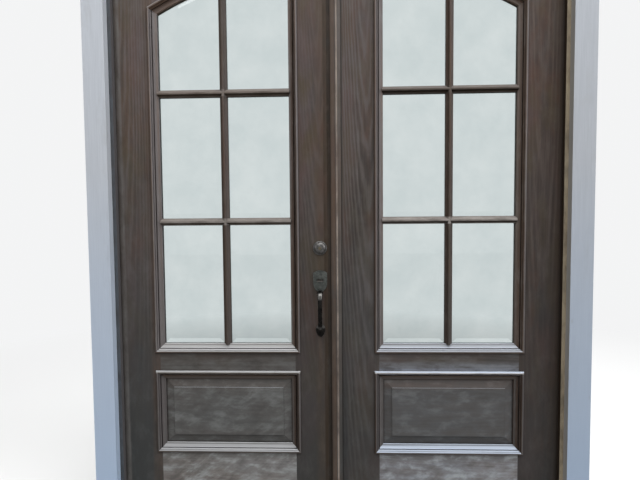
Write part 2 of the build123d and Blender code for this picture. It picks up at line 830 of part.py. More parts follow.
def surface_bolt(sign, end_z):
    """Guide and bar of a surface bolt on the right leaf, whose bar ends at end_z."""
    near, far = end_z - sign * 22, end_z - sign * (rod_l - 12)
    guide = slab(rod_x - guide_w / 2, rod_x + guide_w / 2, leaf_t, leaf_t + guide_t, near, far)
    block_zs = [near - sign * guide_l / 2, far + sign * guide_l / 2]
    half = rod_w / 2 + guide_wall
    front = leaf_t + guide_t + rod_t + guide_wall
    for z in block_zs:
        guide += slab(rod_x - half, rod_x + half, leaf_t, front, z - guide_l / 2, z + guide_l / 2)
    guide -= slide_space(rod_clear, min(near, far) - 1, max(near, far) + 1)
    rod = slide_space(0, *sorted((end_z, end_z - sign * rod_l)))
    knob_z = sum(block_zs) / 2 - sign * rod_throw / 2
    y0 = leaf_t + guide_t + rod_t
    rod += bar("Y", (rod_x, 0, knob_z), 5, y0, y0 + 16)
    return guide, rod


def keeper(z0, z1):
    """The keeper that a surface bolt shoots into, on the frame's inside edge."""
    half = rod_w / 2 + guide_wall
    block = slab(rod_x - half, rod_x + half, leaf_t, leaf_t + guide_t + rod_t + guide_wall, z0, z1)
    return block - slide_space(2 * rod_clear, z0 - 1, z1 + 1)


parts = {}

# Frame
right_jamb = side_jamb()
jambs = (right_jamb, mirrored(right_jamb))
head_board, head_strip = head()
for jamb in jambs:
    head_board -= jamb
parts["jamb_right"], parts["jamb_left"] = jambs
parts["head_jamb"] = biggest(head_board)
right_strip = side_strip()
parts["weatherstrip"] = group([right_strip, mirrored(right_strip), head_strip])
sill_pieces = sill(jambs)
parts["sill_base"], parts["sill_deck"], parts["sill_riser"] = sill_pieces
side_casing, head_casing = casings(sill_pieces)
parts["casing_right"] = side_casing
parts["casing_left"] = mirrored(side_casing)
parts["casing_head"] = head_casing
frame_plates = [hinge_plate(z, True) for z in hinge_centres()]
parts["hinge_jamb_plates"] = group(frame_plates + [mirrored(p) for p in frame_plates])

# Lock set, whose bolts also cut their pockets in the stiles and the astragal
mid_y = leaf_t / 2
edge_x = -seam
latch_end = edge_x - seat_gap
latch_bolt = slab(latch_end - 42, latch_end, mid_y - latch_w / 2, mid_y + latch_w / 2,
                  latch_z - latch_h / 2, latch_z + latch_h / 2)
ramp = face_of((latch_end - 9, mid_y + latch_w), (latch_end + 1, mid_y + latch_w), (latch_end + 1, mid_y - 1))
latch_bolt -= Pos(0, 0, latch_z - latch_h) * grow(ramp, 2 * latch_h)
dead_bolt = slab(latch_end - bolt_l, latch_end, mid_y - bolt_w / 2, mid_y + bolt_w / 2,
                 deadbolt_z - bolt_h / 2, deadbolt_z + bolt_h / 2)
parts["latch_bolt"] = latch_bolt
parts["dead_bolt"] = dead_bolt
locks = (
    (latch_z, latch_w + 2 * bolt_clear, latch_h + 2 * bolt_clear, 42 + 6, latch_throw + 6),
    (deadbolt_z, bolt_w + 2 * bolt_clear, bolt_h + 2 * bolt_clear, bolt_l + 4, bolt_throw + 4),
)
stem_x = seam - stem_t
plug_bore = outward(lock_x, deadbolt_z) * Pos(0, 0, -plug_back / 2) * Cylinder(plug_cam_d / 2 + 1, plug_back + 2)
pockets_left = [plug_bore]
pockets_right = []
faceplates = []
strikes = []
for z, wy, wz, back, front in locks:
    half_y, half_z = wy / 2, wz / 2
    pockets_left.append(slab(edge_x - back, edge_x + 1, mid_y - half_y, mid_y + half_y, z - half_z, z + half_z))
    pockets_right.append(slab(stem_x - 1, stem_x + front, mid_y - half_y - 0.6, mid_y + half_y + 0.6,
                              z - half_z - 0.6, z + half_z + 0.6))
    faceplates.append(edge_plate(edge_x - faceplate_t, edge_x, z, wy, wz))
    strikes.append(edge_plate(stem_x, stem_x + faceplate_t, z, wy + 1.2, wz + 1.2))
parts["faceplates"] = group(faceplates)
parts["strikes"] = group(strikes)
parts["handle_plate"] = handle_plate()
parts["handle_grip"] = handle_grip()
parts["thumb_piece"] = thumb_piece()
parts["rosettes"] = group([
    outward(lock_x, deadbolt_z) * rosette(plug_d + 2 * bore_fit),
    inward(lock_x, deadbolt_z) * rosette(turn_shaft_d + 2 * bore_fit),
    inward(lock_x, latch_z) * rosette(knob_neck_d + 2 * bore_fit),
])
parts["key_plug"] = key_plug()
parts["thumb_turn"] = thumb_turn()
parts["inside_knob"] = inside_knob()

# Astragal and surface bolts
t_bar = astragal()
for pocket in pockets_right + strikes:
    t_bar -= pocket
t_bar -= slab(stem_x - 1, stem_x + faceplate_t, mid_y - faceplate_w / 2, mid_y + faceplate_w / 2,
              latch_z - faceplate_h / 2, latch_z + faceplate_h / 2)
t_bar -= slab(stem_x - 1, stem_x + faceplate_t, mid_y - faceplate_w / 2, mid_y + faceplate_w / 2,
              deadbolt_z - faceplate_h / 2, deadbolt_z + faceplate_h / 2)
parts["astragal"] = whole(t_bar)
keeper_top_z = head_z + 2
keeper_low_z = sill_back_h - keeper_h
top_guide, top_rod = surface_bolt(1, keeper_top_z - 4)
low_guide, low_rod = surface_bolt(-1, leaf_z - 6)
parts["surface_bolt_guides"] = group([top_guide, low_guide])
parts["surface_bolt_top"] = top_rod
parts["surface_bolt_bottom"] = low_rod
parts["bolt_keepers"] = group([
    keeper(keeper_top_z, keeper_top_z + keeper_h),
    keeper(keeper_low_z, keeper_low_z + keeper_h),
])

# Leaves
for name, piece in leaf().items():
    right_piece, left_piece = piece, mirrored(piece)
    if name == "meeting_stile":
        for pocket in pockets_right:
            right_piece -= pocket
        for pocket in pockets_left + faceplates:
            left_piece -= pocket
        for z in (latch_z, deadbolt_z):
            left_piece -= slab(edge_x - faceplate_t, edge_x + 1, mid_y - faceplate_w / 2, mid_y + faceplate_w / 2,
                               z - faceplate_h / 2, z + faceplate_h / 2)
    parts["right_" + name] = right_piece
    parts["left_" + name] = left_piece

os.makedirs("parts", exist_ok=True)
for name, shape in parts.items():
    export_step(shape if isinstance(shape, Compound) else whole(shape), "parts/" + name + ".step")
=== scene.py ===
import math

import bpy
from mathutils import Matrix, Vector


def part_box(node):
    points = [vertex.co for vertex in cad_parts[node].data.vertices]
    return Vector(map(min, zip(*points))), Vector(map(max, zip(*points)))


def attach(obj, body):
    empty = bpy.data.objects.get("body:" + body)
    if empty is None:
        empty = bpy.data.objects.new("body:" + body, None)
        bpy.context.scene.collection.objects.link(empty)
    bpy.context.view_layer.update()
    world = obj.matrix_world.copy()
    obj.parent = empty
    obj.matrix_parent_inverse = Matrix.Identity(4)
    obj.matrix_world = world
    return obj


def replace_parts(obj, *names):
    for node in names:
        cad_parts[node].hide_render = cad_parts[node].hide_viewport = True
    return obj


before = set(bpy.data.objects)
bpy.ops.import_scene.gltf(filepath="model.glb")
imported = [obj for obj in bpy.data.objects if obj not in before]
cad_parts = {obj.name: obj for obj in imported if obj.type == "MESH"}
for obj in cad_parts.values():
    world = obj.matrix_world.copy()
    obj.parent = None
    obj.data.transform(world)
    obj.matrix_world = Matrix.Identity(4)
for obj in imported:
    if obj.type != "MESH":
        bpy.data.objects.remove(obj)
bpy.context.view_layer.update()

# Sizes of the leaves and their trim, in metres, as in the CAD source
LEAF_W = 0.914
LEAF_H = 2.438
LEAF_T = 0.0445
LEAF_Z = 0.044
STILE_W = 0.170
BOTTOM_RAIL_H = 0.270
PANEL_OPEN_H = 0.312
MIDDLE_RAIL_H = 0.117
CROWN_RAIL_H = 0.154
SIGHT_RADIUS = 1.500
TOP_PANE_SHARE = 0.62
MUNTIN_W = 0.030
MUNTIN_NOSE = 0.010
MUNTIN_PROUD = 0.002
MOULDING_W = 0.037
MOULDING_LAP = 0.020
MOULDING_PROUD = 0.009
BEAD_W = 0.011
QUIRK_W = 0.002
GLASS_GAP = 0.0003
PANE_BACK = 0.02525
PANE_T = 0.006
PANEL_GROOVE = 0.0144
SEAM = 0.0055
EDGE_GAP = 0.003

# Sizes of the lock set, hinges and surface bolts
BACKSET = 0.0635
DEADBOLT_H = 1.119
LOCK_SPACING = 0.1397
ROSE_R = 0.029
STRIKE_T = 0.008
HINGE_H = 0.102
HINGE_T = 0.0025
HINGE_L = 0.046
HINGE_LOW = 0.254
HINGE_HIGH = 0.178
BARREL_R = 0.006
BARREL_OFF = 0.0065
KNUCKLE_GAP = 0.0003
ROD_X = 0.038
ROD_HALF = 0.007
ROD_T = 0.008
ROD_L = 0.250
ROD_CLEAR = 0.0003
GUIDE_HALF = 0.016
GUIDE_T = 0.0025
BLOCK_HALF = 0.008
RIB_PITCH = 0.0085
RIBS = 9

# Places that follow from them
LOCK_X = -(SEAM + BACKSET)
DEADBOLT_Z = LEAF_Z + DEADBOLT_H
LATCH_Z = DEADBOLT_Z - LOCK_SPACING
HINGE_EDGE = SEAM + LEAF_W
AXIS_X = HINGE_EDGE + EDGE_GAP / 2
AXIS_Y = LEAF_T + BARREL_OFF
HINGE_ZS = [LEAF_Z + HINGE_LOW + (LEAF_H - HINGE_LOW - HINGE_HIGH) * n / 3 for n in range(4)]
ROD_Y = LEAF_T + GUIDE_T + ROD_CLEAR
ROD_ENDS = {1: LEAF_Z + LEAF_H + EDGE_GAP + 0.002 - 0.004, -1: LEAF_Z - 0.006}
REVEAL = MOULDING_W - MOULDING_LAP
OPEN_IN = SEAM + STILE_W
OPEN_OUT = HINGE_EDGE - STILE_W
SIGHT_IN = OPEN_IN + REVEAL
SIGHT_OUT = OPEN_OUT - REVEAL
MUNTIN_X = (SIGHT_IN + SIGHT_OUT) / 2
PANEL_Z = LEAF_Z + BOTTOM_RAIL_H
RAIL_Z = PANEL_Z + PANEL_OPEN_H
LIGHT_Z = RAIL_Z + MIDDLE_RAIL_H
SIGHT_Z = LIGHT_Z + REVEAL
OPEN_RADIUS = SIGHT_RADIUS + REVEAL
LIGHT_DEPTHS = (PANE_BACK - PANE_T - GLASS_GAP, LEAF_T - PANE_BACK - GLASS_GAP)
LEAF_FACES = ((0.0, -1), (LEAF_T, 1))
ARCH_Z = LEAF_Z + LEAF_H - CROWN_RAIL_H - math.sqrt(OPEN_RADIUS**2 - OPEN_IN**2)
SPRING_Z = ARCH_Z + math.sqrt(SIGHT_RADIUS**2 - SIGHT_OUT**2)
PANE_H = (SPRING_Z - SIGHT_Z - 2 * MUNTIN_W) / (2 + TOP_PANE_SHARE)
ROW_ZS = [SIGHT_Z + (PANE_H + MUNTIN_W) * n - MUNTIN_W / 2 for n in (1, 2)]


class Shades:
    """The node tree of a material or of the world, with short calls for the nodes used here."""

    def __init__(self, name, world=None):
        self.material = world or bpy.data.materials.new(name)
        self.material.use_nodes = True
        self.nodes = self.material.node_tree.nodes
        self.links = self.material.node_tree.links
        self.shader = next(n for n in self.nodes if n.type in ("BSDF_PRINCIPLED", "BACKGROUND"))

    def feed(self, node, inputs):
        """Links or sets the inputs of a node."""
        for key, value in inputs.items():
            if isinstance(value, bpy.types.NodeSocket):
                self.links.new(value, node.inputs[key])
            else:
                node.inputs[key].default_value = value

    def put(self, kind, inputs=None, **settings):
        node = self.nodes.new(kind)
        for key, value in settings.items():
            setattr(node, key, value)
        self.feed(node, inputs or {})
        return node

    def coords(self, output="Object"):
        return self.put("ShaderNodeTexCoord").outputs[output]

    def stretch(self, vector, scale=(1, 1, 1), shift=(0, 0, 0), turn=(0, 0, 0)):
        inputs = {"Vector": vector, "Scale": scale, "Location": shift, "Rotation": turn}
        return self.put("ShaderNodeMapping", inputs).outputs[0]

    def noise(self, vector, scale, detail=4.0, rough=0.55, bend=0.0):
        inputs = {"Vector": vector, "Scale": scale, "Detail": detail, "Roughness": rough, "Distortion": bend}
        return self.put("ShaderNodeTexNoise", inputs).outputs[0]

    def math(self, kind, a, b):
        return self.put("ShaderNodeMath", {0: a, 1: b}, operation=kind).outputs[0]

    def product(self, first, *others):
        for other in others:
            first = self.math("MULTIPLY", first, other)
        return first

    def total(self, *pairs):
        """The sum of values, each with its weight."""
        first, *others = [self.product(*pair) for pair in pairs]
        for other in others:
            first = self.math("ADD", first, other)
        return first

    def span(self, value, low, high, to_low=0.0, to_high=1.0):
        inputs = {"Value": value, "From Min": low, "From Max": high, "To Min": to_low, "To Max": to_high}
        return self.put("ShaderNodeMapRange", inputs, clamp=True).outputs[0]

    def ramp(self, value, stops):
        node = self.put("ShaderNodeValToRGB", {"Fac": value})
        marks = node.color_ramp.elements
        while len(marks) < len(stops):
            marks.new(0.5)
        for mark, (place, colour) in zip(marks, stops):
            mark.position = place
            mark.color = (*colour, 1)
        return node.outputs[0]

    def blend(self, share, a, b):
        a, b = (colour if isinstance(colour, bpy.types.NodeSocket) else (*colour, 1) for colour in (a, b))
        return self.put("ShaderNodeMix", {0: share, 6: a, 7: b}, data_type="RGBA").outputs[2]

    def part_of(self, output, axis):
        """One component of the place or of the facing direction, on the piece's own axes."""
        return self.put("ShaderNodeSeparateXYZ", {0: self.coords(output)}).outputs["XYZ".index(axis)]

    def facing(self, axis):
        """How far the surface faces along an axis, from -1 to 1."""
        return self.part_of("Normal", axis)

    def place(self, axis):
        return self.part_of("Object", axis)

    def zone(self, axis, low, high, soft):
        """1 between two places on an axis, fading out over a soft edge."""
        where = self.place(axis)
        below = self.span(where, low - soft, low)
        above = self.span(where, high, high + soft, 1.0, 0.0)
        return self.product(below, above)

    def bump(self, height, depth, strength=1.0):
        inputs = {"Height": height, "Distance": depth, "Strength": strength}
        self.feed(self.shader, {"Normal": self.put("ShaderNodeBump", inputs).outputs[0]})

    def finish(self, colour, rough, **fixed):
        self.feed(self.shader, {"Base Color": colour, "Roughness": rough})
        self.feed(self.shader, {key.replace("_", " "): value for key, value in fixed.items()})
        return self.material


# Colours that materials share, painted shade and light among them, and the tint of plain weathered wood
# Silver of top faces: bleached by weather, with painted light from above
SILVER = (0.50, 0.53, 0.57)
RUSSET = (0.092, 0.050, 0.032)
PLUM = (0.090, 0.064, 0.062)
SLATE = (0.070, 0.074, 0.082)
OLIVE = (0.070, 0.060, 0.038)
# Colour of downward faces: painted shade, with the stain that stays out of the rain
UNDERSIDE_SHADE_AND_STAIN = (0.040, 0.022, 0.012)
STAINED = (0.054, 0.046, 0.042)
RING_SILVER = (0.106, 0.106, 0.109)
PORE = (0.024, 0.018, 0.014)
NEAR_GROUND = (0.037, 0.040, 0.040)
# Painted light and shade by side: brown for faces turned left, grey for faces turned right
SHADED_SIDE_BROWN = (0.026, 0.015, 0.009)
LIT_SIDE_GREY = (0.070, 0.066, 0.068)
PALE_PATCH = (0.150, 0.163, 0.168)
DARK_PATCH = (0.024, 0.024, 0.024)
# Painted shade in hollows and creases
CREVICE_SHADE = (0.013, 0.008, 0.005)
WARM = (1.0, 0.935, 0.905)
GRIME = (0.33, 0.335, 0.34)
NAIL_HEAD = (0.30, 0.315, 0.335)
# Painted blue shade on the lower part of the paint
LOW_BLUE_SHADE = (0.350, 0.455, 0.610)
# Worn bronze, and a painted highlight on the grip
RUBBED_METAL_AND_HIGHLIGHT = (0.22, 0.215, 0.205)
BACKDROP = (0.90, 0.905, 0.91, 1)


def scaled(colour, factor):
    """A colour made darker or brighter."""
    return tuple(factor * part for part in colour)


def along(grain, share):
    """The scale that draws a pattern out along the grain."""
    return (1, 1, share) if grain == "Z" else (share, 1, 1)


def weathered_wood(name, grain, seed, tone=1.0, rings=0.30, contrast=1.0, ribbon=0.0, bleach_and_light=0.9, top=SILVER,
                   catch=(0.12, 0.75), under=UNDERSIDE_SHADE_AND_STAIN, crevice=0.85, rust=0.6, lee=0.0, low_share=0.6,
                   front=None, flank=None, stains=(), mottle=0.12, belly=(-0.12, -0.65),
                   cast=WARM, gloss=0.40):
    """Dark stained timber gone grey outdoors. grain is X, Z or UV, the way its fibres run.

    catch is how far up a surface faces before it bleaches to the top colour, weathering and painted light
    from above together, and belly how far down before it takes the colour under, painted shade with the
    stain that stays out of the rain. lee paints light and shade by side: it browns what faces left,
    as in shade, and greys what faces right, as in light. low_share darkens it towards the ground. front is
    the colour of the face turned outside and flank that of the others, each lit or shaded with painted
    light. Each stain is (axis, low, high, soft edge, colour, share), with a height that it stays under
    where it has one; some of them are painted shadows and highlights. mottle is how strong the pale and
    dark patches are, and cast tints the whole.
    """
    s = Shades(name)
    place = s.coords("UV" if grain == "UV" else "Object")

    def toned(colour, share=1.0):
        return tuple((b + (c - b) * share) * tone * w for b, c, w in zip(STAINED, colour, cast))

    shift = (seed * 1.37, seed * 0.71, seed * 2.13)
    streaks = s.noise(s.stretch(place, along(grain, 0.022), shift), 85.0, 6.0, 0.6, 0.12)
    fibre = s.noise(s.stretch(place, along(grain, 0.012), shift), 640.0, 3.0, 0.6)
    broad = s.noise(s.stretch(place, along(grain, 0.10), shift), 13.0, 4.0, 0.55, 0.3)
    pores = s.noise(s.stretch(place, along(grain, 0.035), shift), 1500.0, 2.0, 0.5)
    patch = s.noise(s.stretch(place, along(grain, 0.45), shift), 26.0, 5.0, 0.62, 0.2)
    mixed = s.total((streaks, 0.40), (fibre, 0.26), (broad, 0.34))
    growth = None
    if grain != "UV":
        lean = math.radians(2.6 + 1.2 * math.sin(seed * 5.1))
        turn = (lean, lean * 0.4, 0) if grain == "Z" else (0, -lean * 0.5, lean)
        pith = (math.sin(seed) * 0.05, 0.085, 0) if grain == "Z" else (0, 0.085, math.sin(seed) * 0.05)
        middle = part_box(name)
        centre = [-(low + high) / 2 + far for low, high, far in zip(*middle, pith)]
        tilted = s.stretch(s.stretch(place, shift=centre), turn=turn)
        growth = s.put("ShaderNodeTexWave", {
            "Vector": s.stretch(tilted, along(grain, 0.14)), "Scale": 30.0, "Distortion": 3.6,
            "Detail": 5.0, "Detail Scale": 1.1, "Detail Roughness": 0.62,
        }, wave_type="RINGS", rings_direction=grain, wave_profile="SIN").outputs[1]
        growth = s.product(growth, s.span(fibre, 0.3, 0.7, 0.75, 1.0))
        mixed = s.math("ADD", mixed, s.product(s.math("SUBTRACT", growth, 0.45), rings * 0.35))
    if ribbon:
        leaning = s.stretch(s.stretch(place, shift=shift, turn=(0, math.radians(38), 0)), (0.22, 1.0, 1.0))
        figure = s.noise(leaning, 48.0, 3.0, 0.55, 0.25)
        share = s.span(s.noise(place, 4.5, 2.0, 0.5), 0.40, 0.64, 0.1, 1.0)
        figure = s.product(s.math("SUBTRACT", figure, 0.5), share)
        mixed = s.math("ADD", mixed, s.product(figure, ribbon))
        patch = s.math("ADD", patch, s.product(figure, ribbon * 0.8))
    stops = ((0.32, (0.023, 0.018, 0.015)), (0.47, STAINED), (0.58, (0.088, 0.077, 0.071)),
             (0.76, (0.162, 0.152, 0.146)))
    colour = s.ramp(mixed, [(mark, toned(shade, contrast)) for mark, shade in stops])
    clouds = ((RUSSET, 7.0, 0.35, rust), (PLUM, 9.0, 0.15, rust), (SLATE, 6.0, 0.35, 0.45),
              (OLIVE, 11.0, 0.40, rust * 0.8))
    for number, (shade, size, share, most) in enumerate(clouds):
        moved = tuple(c + 3.0 * number for c in shift)
        cloud = s.noise(s.stretch(place, along(grain, share), moved), size, 5.0, 0.62)
        colour = s.blend(s.span(cloud, 0.46, 0.64, 0.0, most), colour, toned(shade))
    if growth:
        share = s.span(broad, 0.35, 0.65, rings * 0.5, rings * 1.3)
        silvered = s.product(s.span(growth, 0.5, 0.95), share)
        colour = s.blend(silvered, colour, toned(RING_SILVER))
    colour = s.blend(s.span(pores, 0.60, 0.72, 0.0, 0.40), colour, toned(PORE))
    low = s.span(s.place("Z"), 0.30, 1.6, 1.0, 0.0)
    colour = s.blend(s.product(low, low_share), colour, scaled(NEAR_GROUND, tone))
    # Painted light and shade by side: faces turned left browned as in shade, faces turned right greyed as in
    # light
    if lee:
        colour = s.blend(s.span(s.facing("X"), -0.05, -0.42, 0.0, lee), colour, toned(SHADED_SIDE_BROWN))
        colour = s.blend(s.span(s.facing("X"), 0.05, 0.45, 0.0, lee), colour, toned(LIT_SIDE_GREY))
    # Stains, painted shadows and painted highlights, each in its own zone
    for axis, start, end, soft, shade, share, *limit in stains:
        blotches = s.span(patch, 0.36, 0.62, share * 0.4, share)
        mask = s.product(s.zone(axis, start, end, soft), blotches, s.span(streaks, 0.38, 0.56, 0.55, 1.0))
        for height in limit:
            mask = s.product(mask, s.span(s.place("Z"), height - 0.3, height + 0.3, 1.0, 0.0))
        colour = s.blend(mask, colour, shade)
    colour = s.blend(s.span(patch, 0.50, 0.68, 0.0, mottle), colour, toned(PALE_PATCH))
    colour = s.blend(s.span(patch, 0.48, 0.34, 0.0, mottle), colour, toned(DARK_PATCH))
    # Painted shade on downward faces, with the stain that stays out of the rain
    colour = s.blend(s.span(s.facing("Z"), *belly, 0.0, 0.9), colour, under)
    # Painted shade: hollows and creases darkened where ambient occlusion finds them
    open_air = s.put("ShaderNodeAmbientOcclusion", {"Distance": 0.022}, samples=6).outputs["AO"]
    colour = s.blend(s.span(open_air, 0.35, 0.85, crevice, 0.0), colour, CREVICE_SHADE)
    # Top faces bleached by weather and brightened with painted light from above
    bleached_and_lit = s.span(s.facing("Z"), *catch, 0.0, bleach_and_light)
    under_head = s.span(s.place("Z"), 2.0, 2.2, 1.0, 0.25)
    colour = s.blend(s.product(bleached_and_lit, s.span(streaks, 0.3, 0.6, 0.7, 1.0), under_head), colour, top)
    # Painted light and shade: the face turned outside and the other faces take their own colours
    if front:
        colour = s.blend(s.span(s.facing("Y"), -0.9, -0.5, 0.0, 0.9), colour, flank)
        outside = s.product(s.span(s.facing("Y"), -0.6, -0.95), s.span(patch, 0.34, 0.62, 0.45, 1.0))
        colour = s.blend(outside, colour, front)
    relief = s.total((fibre, 0.6), (streaks, 0.4))
    s.bump(s.math("SUBTRACT", relief, s.span(pores, 0.60, 0.72, 0.0, 0.3)), 0.0009, 0.5)
    return s.finish(colour, s.span(mixed, 0.3, 0.7, 0.46, 0.72), Specular_IOR_Level=gloss)


def painted_wood(name, grain, seed, tone=1.0, shaded_side=None):
    """Exterior paint over boards, with brush marks, filled nail heads and grime.

    shaded_side is the colour of the faces turned left: painted shade.
    """
    s = Shades(name)
    place = s.coords()
    shift = (seed, seed * 0.6, seed * 1.9)
    brush = s.noise(s.stretch(place, along(grain, 0.03), shift), 260.0, 4.0, 0.6)
    lumps = s.noise(s.stretch(place, shift=shift), 70.0, 3.0, 0.5)
    cells = {"Vector": s.stretch(place, (1, 1, 0.5), shift), "Scale": 14.0}
    dents = s.put("ShaderNodeTexVoronoi", cells).outputs["Distance"]
    grime = s.noise(s.stretch(place, (1, 1, 0.3), shift), 16.0, 6.0, 0.7)
    shades = ((0.25, (0.385, 0.408, 0.446)), (0.75, (0.450, 0.476, 0.516)))
    colour = s.ramp(brush, [(mark, scaled(shade, tone)) for mark, shade in shades])
    colour = s.blend(s.span(grime, 0.56, 0.80, 0.0, 0.5), colour, GRIME)
    # Painted blue shade over the lower part
    colour = s.blend(s.span(s.place("Z"), 0.2, 1.5, 0.85, 0.0), colour, scaled(LOW_BLUE_SHADE, tone))
    colour = s.blend(s.span(dents, 0.0, 0.09, 0.45, 0.0), colour, NAIL_HEAD)
    # Painted shade on faces turned left
    if shaded_side:
        colour = s.blend(s.span(s.facing("X"), -0.3, -0.8, 0.0, 0.9), colour, shaded_side)
    relief = s.total((brush, 0.35), (lumps, 0.5))
    s.bump(s.math("ADD", relief, s.span(dents, 0.0, 0.10, 0.0, 0.6)), 0.0012, 0.5)
    return s.finish(colour, s.span(brush, 0.3, 0.7, 0.42, 0.6), Specular_IOR_Level=0.45)


def aged_metal(name, base, worn, seed, rough=(0.32, 0.55), rubbed_and_lit=(), size=38.0):
    """A metal with a patina, rubbed brighter where hands and weather reach it.

    Each rubbed_and_lit zone is (low, high, soft edge, share) in height: worn metal there, and a painted
    highlight. size sets how fine the mottling is.
    """
    s = Shades(name)
    place = s.stretch(s.coords(), shift=(seed, seed * 0.3, seed * 0.7))
    cloud = s.noise(place, size, 5.0, 0.6)
    speck = s.noise(place, 420.0, 3.0, 0.6)
    mixed = s.total((cloud, 0.7), (speck, 0.3))
    colour = s.ramp(mixed, ((0.34, base), (0.68, worn)))
    # Worn metal and a painted highlight on front faces in each zone
    for low, high, soft, share in rubbed_and_lit:
        worn_and_lit = s.span(cloud, 0.3, 0.55, share * 0.6, share)
        mask = s.product(s.zone("Z", low, high, soft), worn_and_lit, s.span(s.facing("Y"), -0.1, -0.7))
        colour = s.blend(mask, colour, RUBBED_METAL_AND_HIGHLIGHT)
    s.bump(speck, 0.0002, 0.5)
    return s.finish(colour, s.span(mixed, 0.35, 0.65, *rough), Metallic=0.92)


def brushed_metal(name, base, worn, grain, seed):
    """Rolled or drawn metal with fine lines along one direction and dull wear."""
    s = Shades(name)
    place = s.coords()
    lines = s.noise(s.stretch(place, along(grain, 0.02), (seed, seed, seed)), 900.0, 2.0, 0.5)
    wear = s.noise(place, 18.0, 5.0, 0.65)
    mixed = s.total((lines, 0.45), (wear, 0.55))
    s.bump(lines, 0.00012, 0.4)
    colour = s.ramp(mixed, ((0.36, base), (0.66, worn)))
    return s.finish(colour, s.span(mixed, 0.35, 0.65, 0.28, 0.5), Metallic=0.95)


def rubber(name, colour):
    """Weather seal, dull and a little dusty."""
    s = Shades(name)
    place = s.coords()
    dust = s.noise(place, 60.0, 5.0, 0.65)
    grit = s.noise(place, 700.0, 2.0, 0.5)
    pale = tuple(c * 2.6 + 0.01 for c in colour)
    s.bump(grit, 0.0002, 0.4)
    return s.finish(s.ramp(dust, ((0.4, colour), (0.75, pale))), s.span(grit, 0.3, 0.7, 0.6, 0.82))


def window_glass(name):
    """Clear bevelled glass with a faint green body and the slight waviness of an old pane."""
    s = Shades(name)
    place = s.coords()
    film = s.noise(place, 7.0, 4.0, 0.6)
    wave = s.noise(place, 3.2, 1.0, 0.4)
    s.bump(wave, 0.002, 0.12)
    colour = s.ramp(film, ((0.35, (0.64, 0.71, 0.71)), (0.75, (0.72, 0.78, 0.775))))
    return s.finish(colour, s.span(film, 0.55, 0.8, 0.0, 0.05), Transmission_Weight=1.0, IOR=1.46)


def distances(points, start):
    """How far along a line each of its points lies, and last its first point again."""
    found = [start]
    for a, b in zip(points, points[1:] + points[:1]):
        found.append(found[-1] + (Vector(b) - Vector(a)).length)
    return found


class Build:
    """Vertices, faces and UVs gathered for one piece."""

    def __init__(self):
        self.verts = []
        self.faces = []
        self.uvs = []

    def grid(self, rows, close_rows=False, close_cols=False, flip=False, grain_from=0.0):
        """Quads between rows of points, which all have the same count. UVs run from grain_from."""
        start = len(self.verts)
        count = len(rows[0])
        for row in rows:
            self.verts += [tuple(p) for p in row]
        across = distances([row[0] for row in rows], 0.0)
        lengths = distances(rows[0], grain_from)
        for i in range(len(rows) if close_rows else len(rows) - 1):
            for j in range(count if close_cols else count - 1):
                corners = [(i, j), (i, j + 1), (i + 1, j + 1), (i + 1, j)]
                quad = [start + a % len(rows) * count + b % count for a, b in corners]
                uvs = [(lengths[b], across[a]) for a, b in corners]
                if flip:
                    quad.reverse()
                    uvs.reverse()
                self.faces.append(quad)
                self.uvs += uvs

    def cap(self, ring, flip=False):
        """One face over a ring of points."""
        start = len(self.verts)
        self.verts += [tuple(p) for p in ring]
        face = list(range(start, start + len(ring)))
        if flip:
            face.reverse()
        self.faces.append(face)
        self.uvs += [(p[0] + p[2], p[1]) for p in ring]

    def made(self, name, material, body, slot, bend, mirror=False):
        """The piece on its body, smooth where its faces meet at less than bend degrees."""
        verts, faces, uvs = self.verts, self.faces, self.uvs
        if mirror:
            verts = [(-x, y, z) for x, y, z in verts]
            faces = [face[::-1] for face in faces]
            uvs = []
            for face in faces:
                at = len(uvs)
                uvs += self.uvs[at:at + len(face)][::-1]
        mesh = bpy.data.meshes.new(name)
        mesh.from_pydata(verts, [], faces)
        layer = mesh.uv_layers.new(name="UVMap")
        for loop, uv in zip(layer.data, uvs):
            loop.uv = uv
        mesh.validate()
        mesh.update()
        mesh.shade_smooth()
        mesh.set_sharp_from_angle(angle=math.radians(bend))
        mesh.materials.append(material)
        obj = bpy.data.objects.new(name, mesh)
        bpy.context.scene.collection.objects.link(obj)
        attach(obj, body)
        return obj


def arc(a, b, bulge, steps):
    """Points of a curve from a to b, bulging by a share of its chord."""
    (ax, ay), (bx, by) = a, b
    mx, my = (ax + bx) / 2, (ay + by) / 2
    px, py = mx - (by - ay) * bulge * 2, my + (bx - ax) * bulge * 2
    points = []
    for n in range(steps + 1):
        t = n / steps
        points.append(((1 - t)**2 * ax + 2 * t * (1 - t) * px + t * t * bx,
                       (1 - t)**2 * ay + 2 * t * (1 - t) * py + t * t * by))
    return points


def moulding_profile(depth):
    """Section of the lapped moulding: u inwards from its outer edge, v proud of the leaf."""
    ovolo = BEAD_W + QUIRK_W
    shoulder = MOULDING_PROUD - 0.0055
    lip = 0.0015
    tongue = MOULDING_LAP + GLASS_GAP
    points = [(tongue, -depth), (tongue, 0.0), (0.0, 0.0), (0.0, shoulder)]
    for n in range(1, 12):
        turn = math.pi * n / 12
        points.append((BEAD_W / 2 - BEAD_W / 2 * math.cos(turn),
                       shoulder + (MOULDING_PROUD - shoulder) * math.sin(turn)**0.75))
    points += [(BEAD_W, shoulder - 0.0012), (ovolo, shoulder - 0.0012)]
    points += arc((ovolo, MOULDING_PROUD - 0.0025), (MOULDING_W - lip, -0.009), -0.16, 9)
    points += [(MOULDING_W, -0.009 - lip), (MOULDING_W, -depth)]
    return points[::-1]


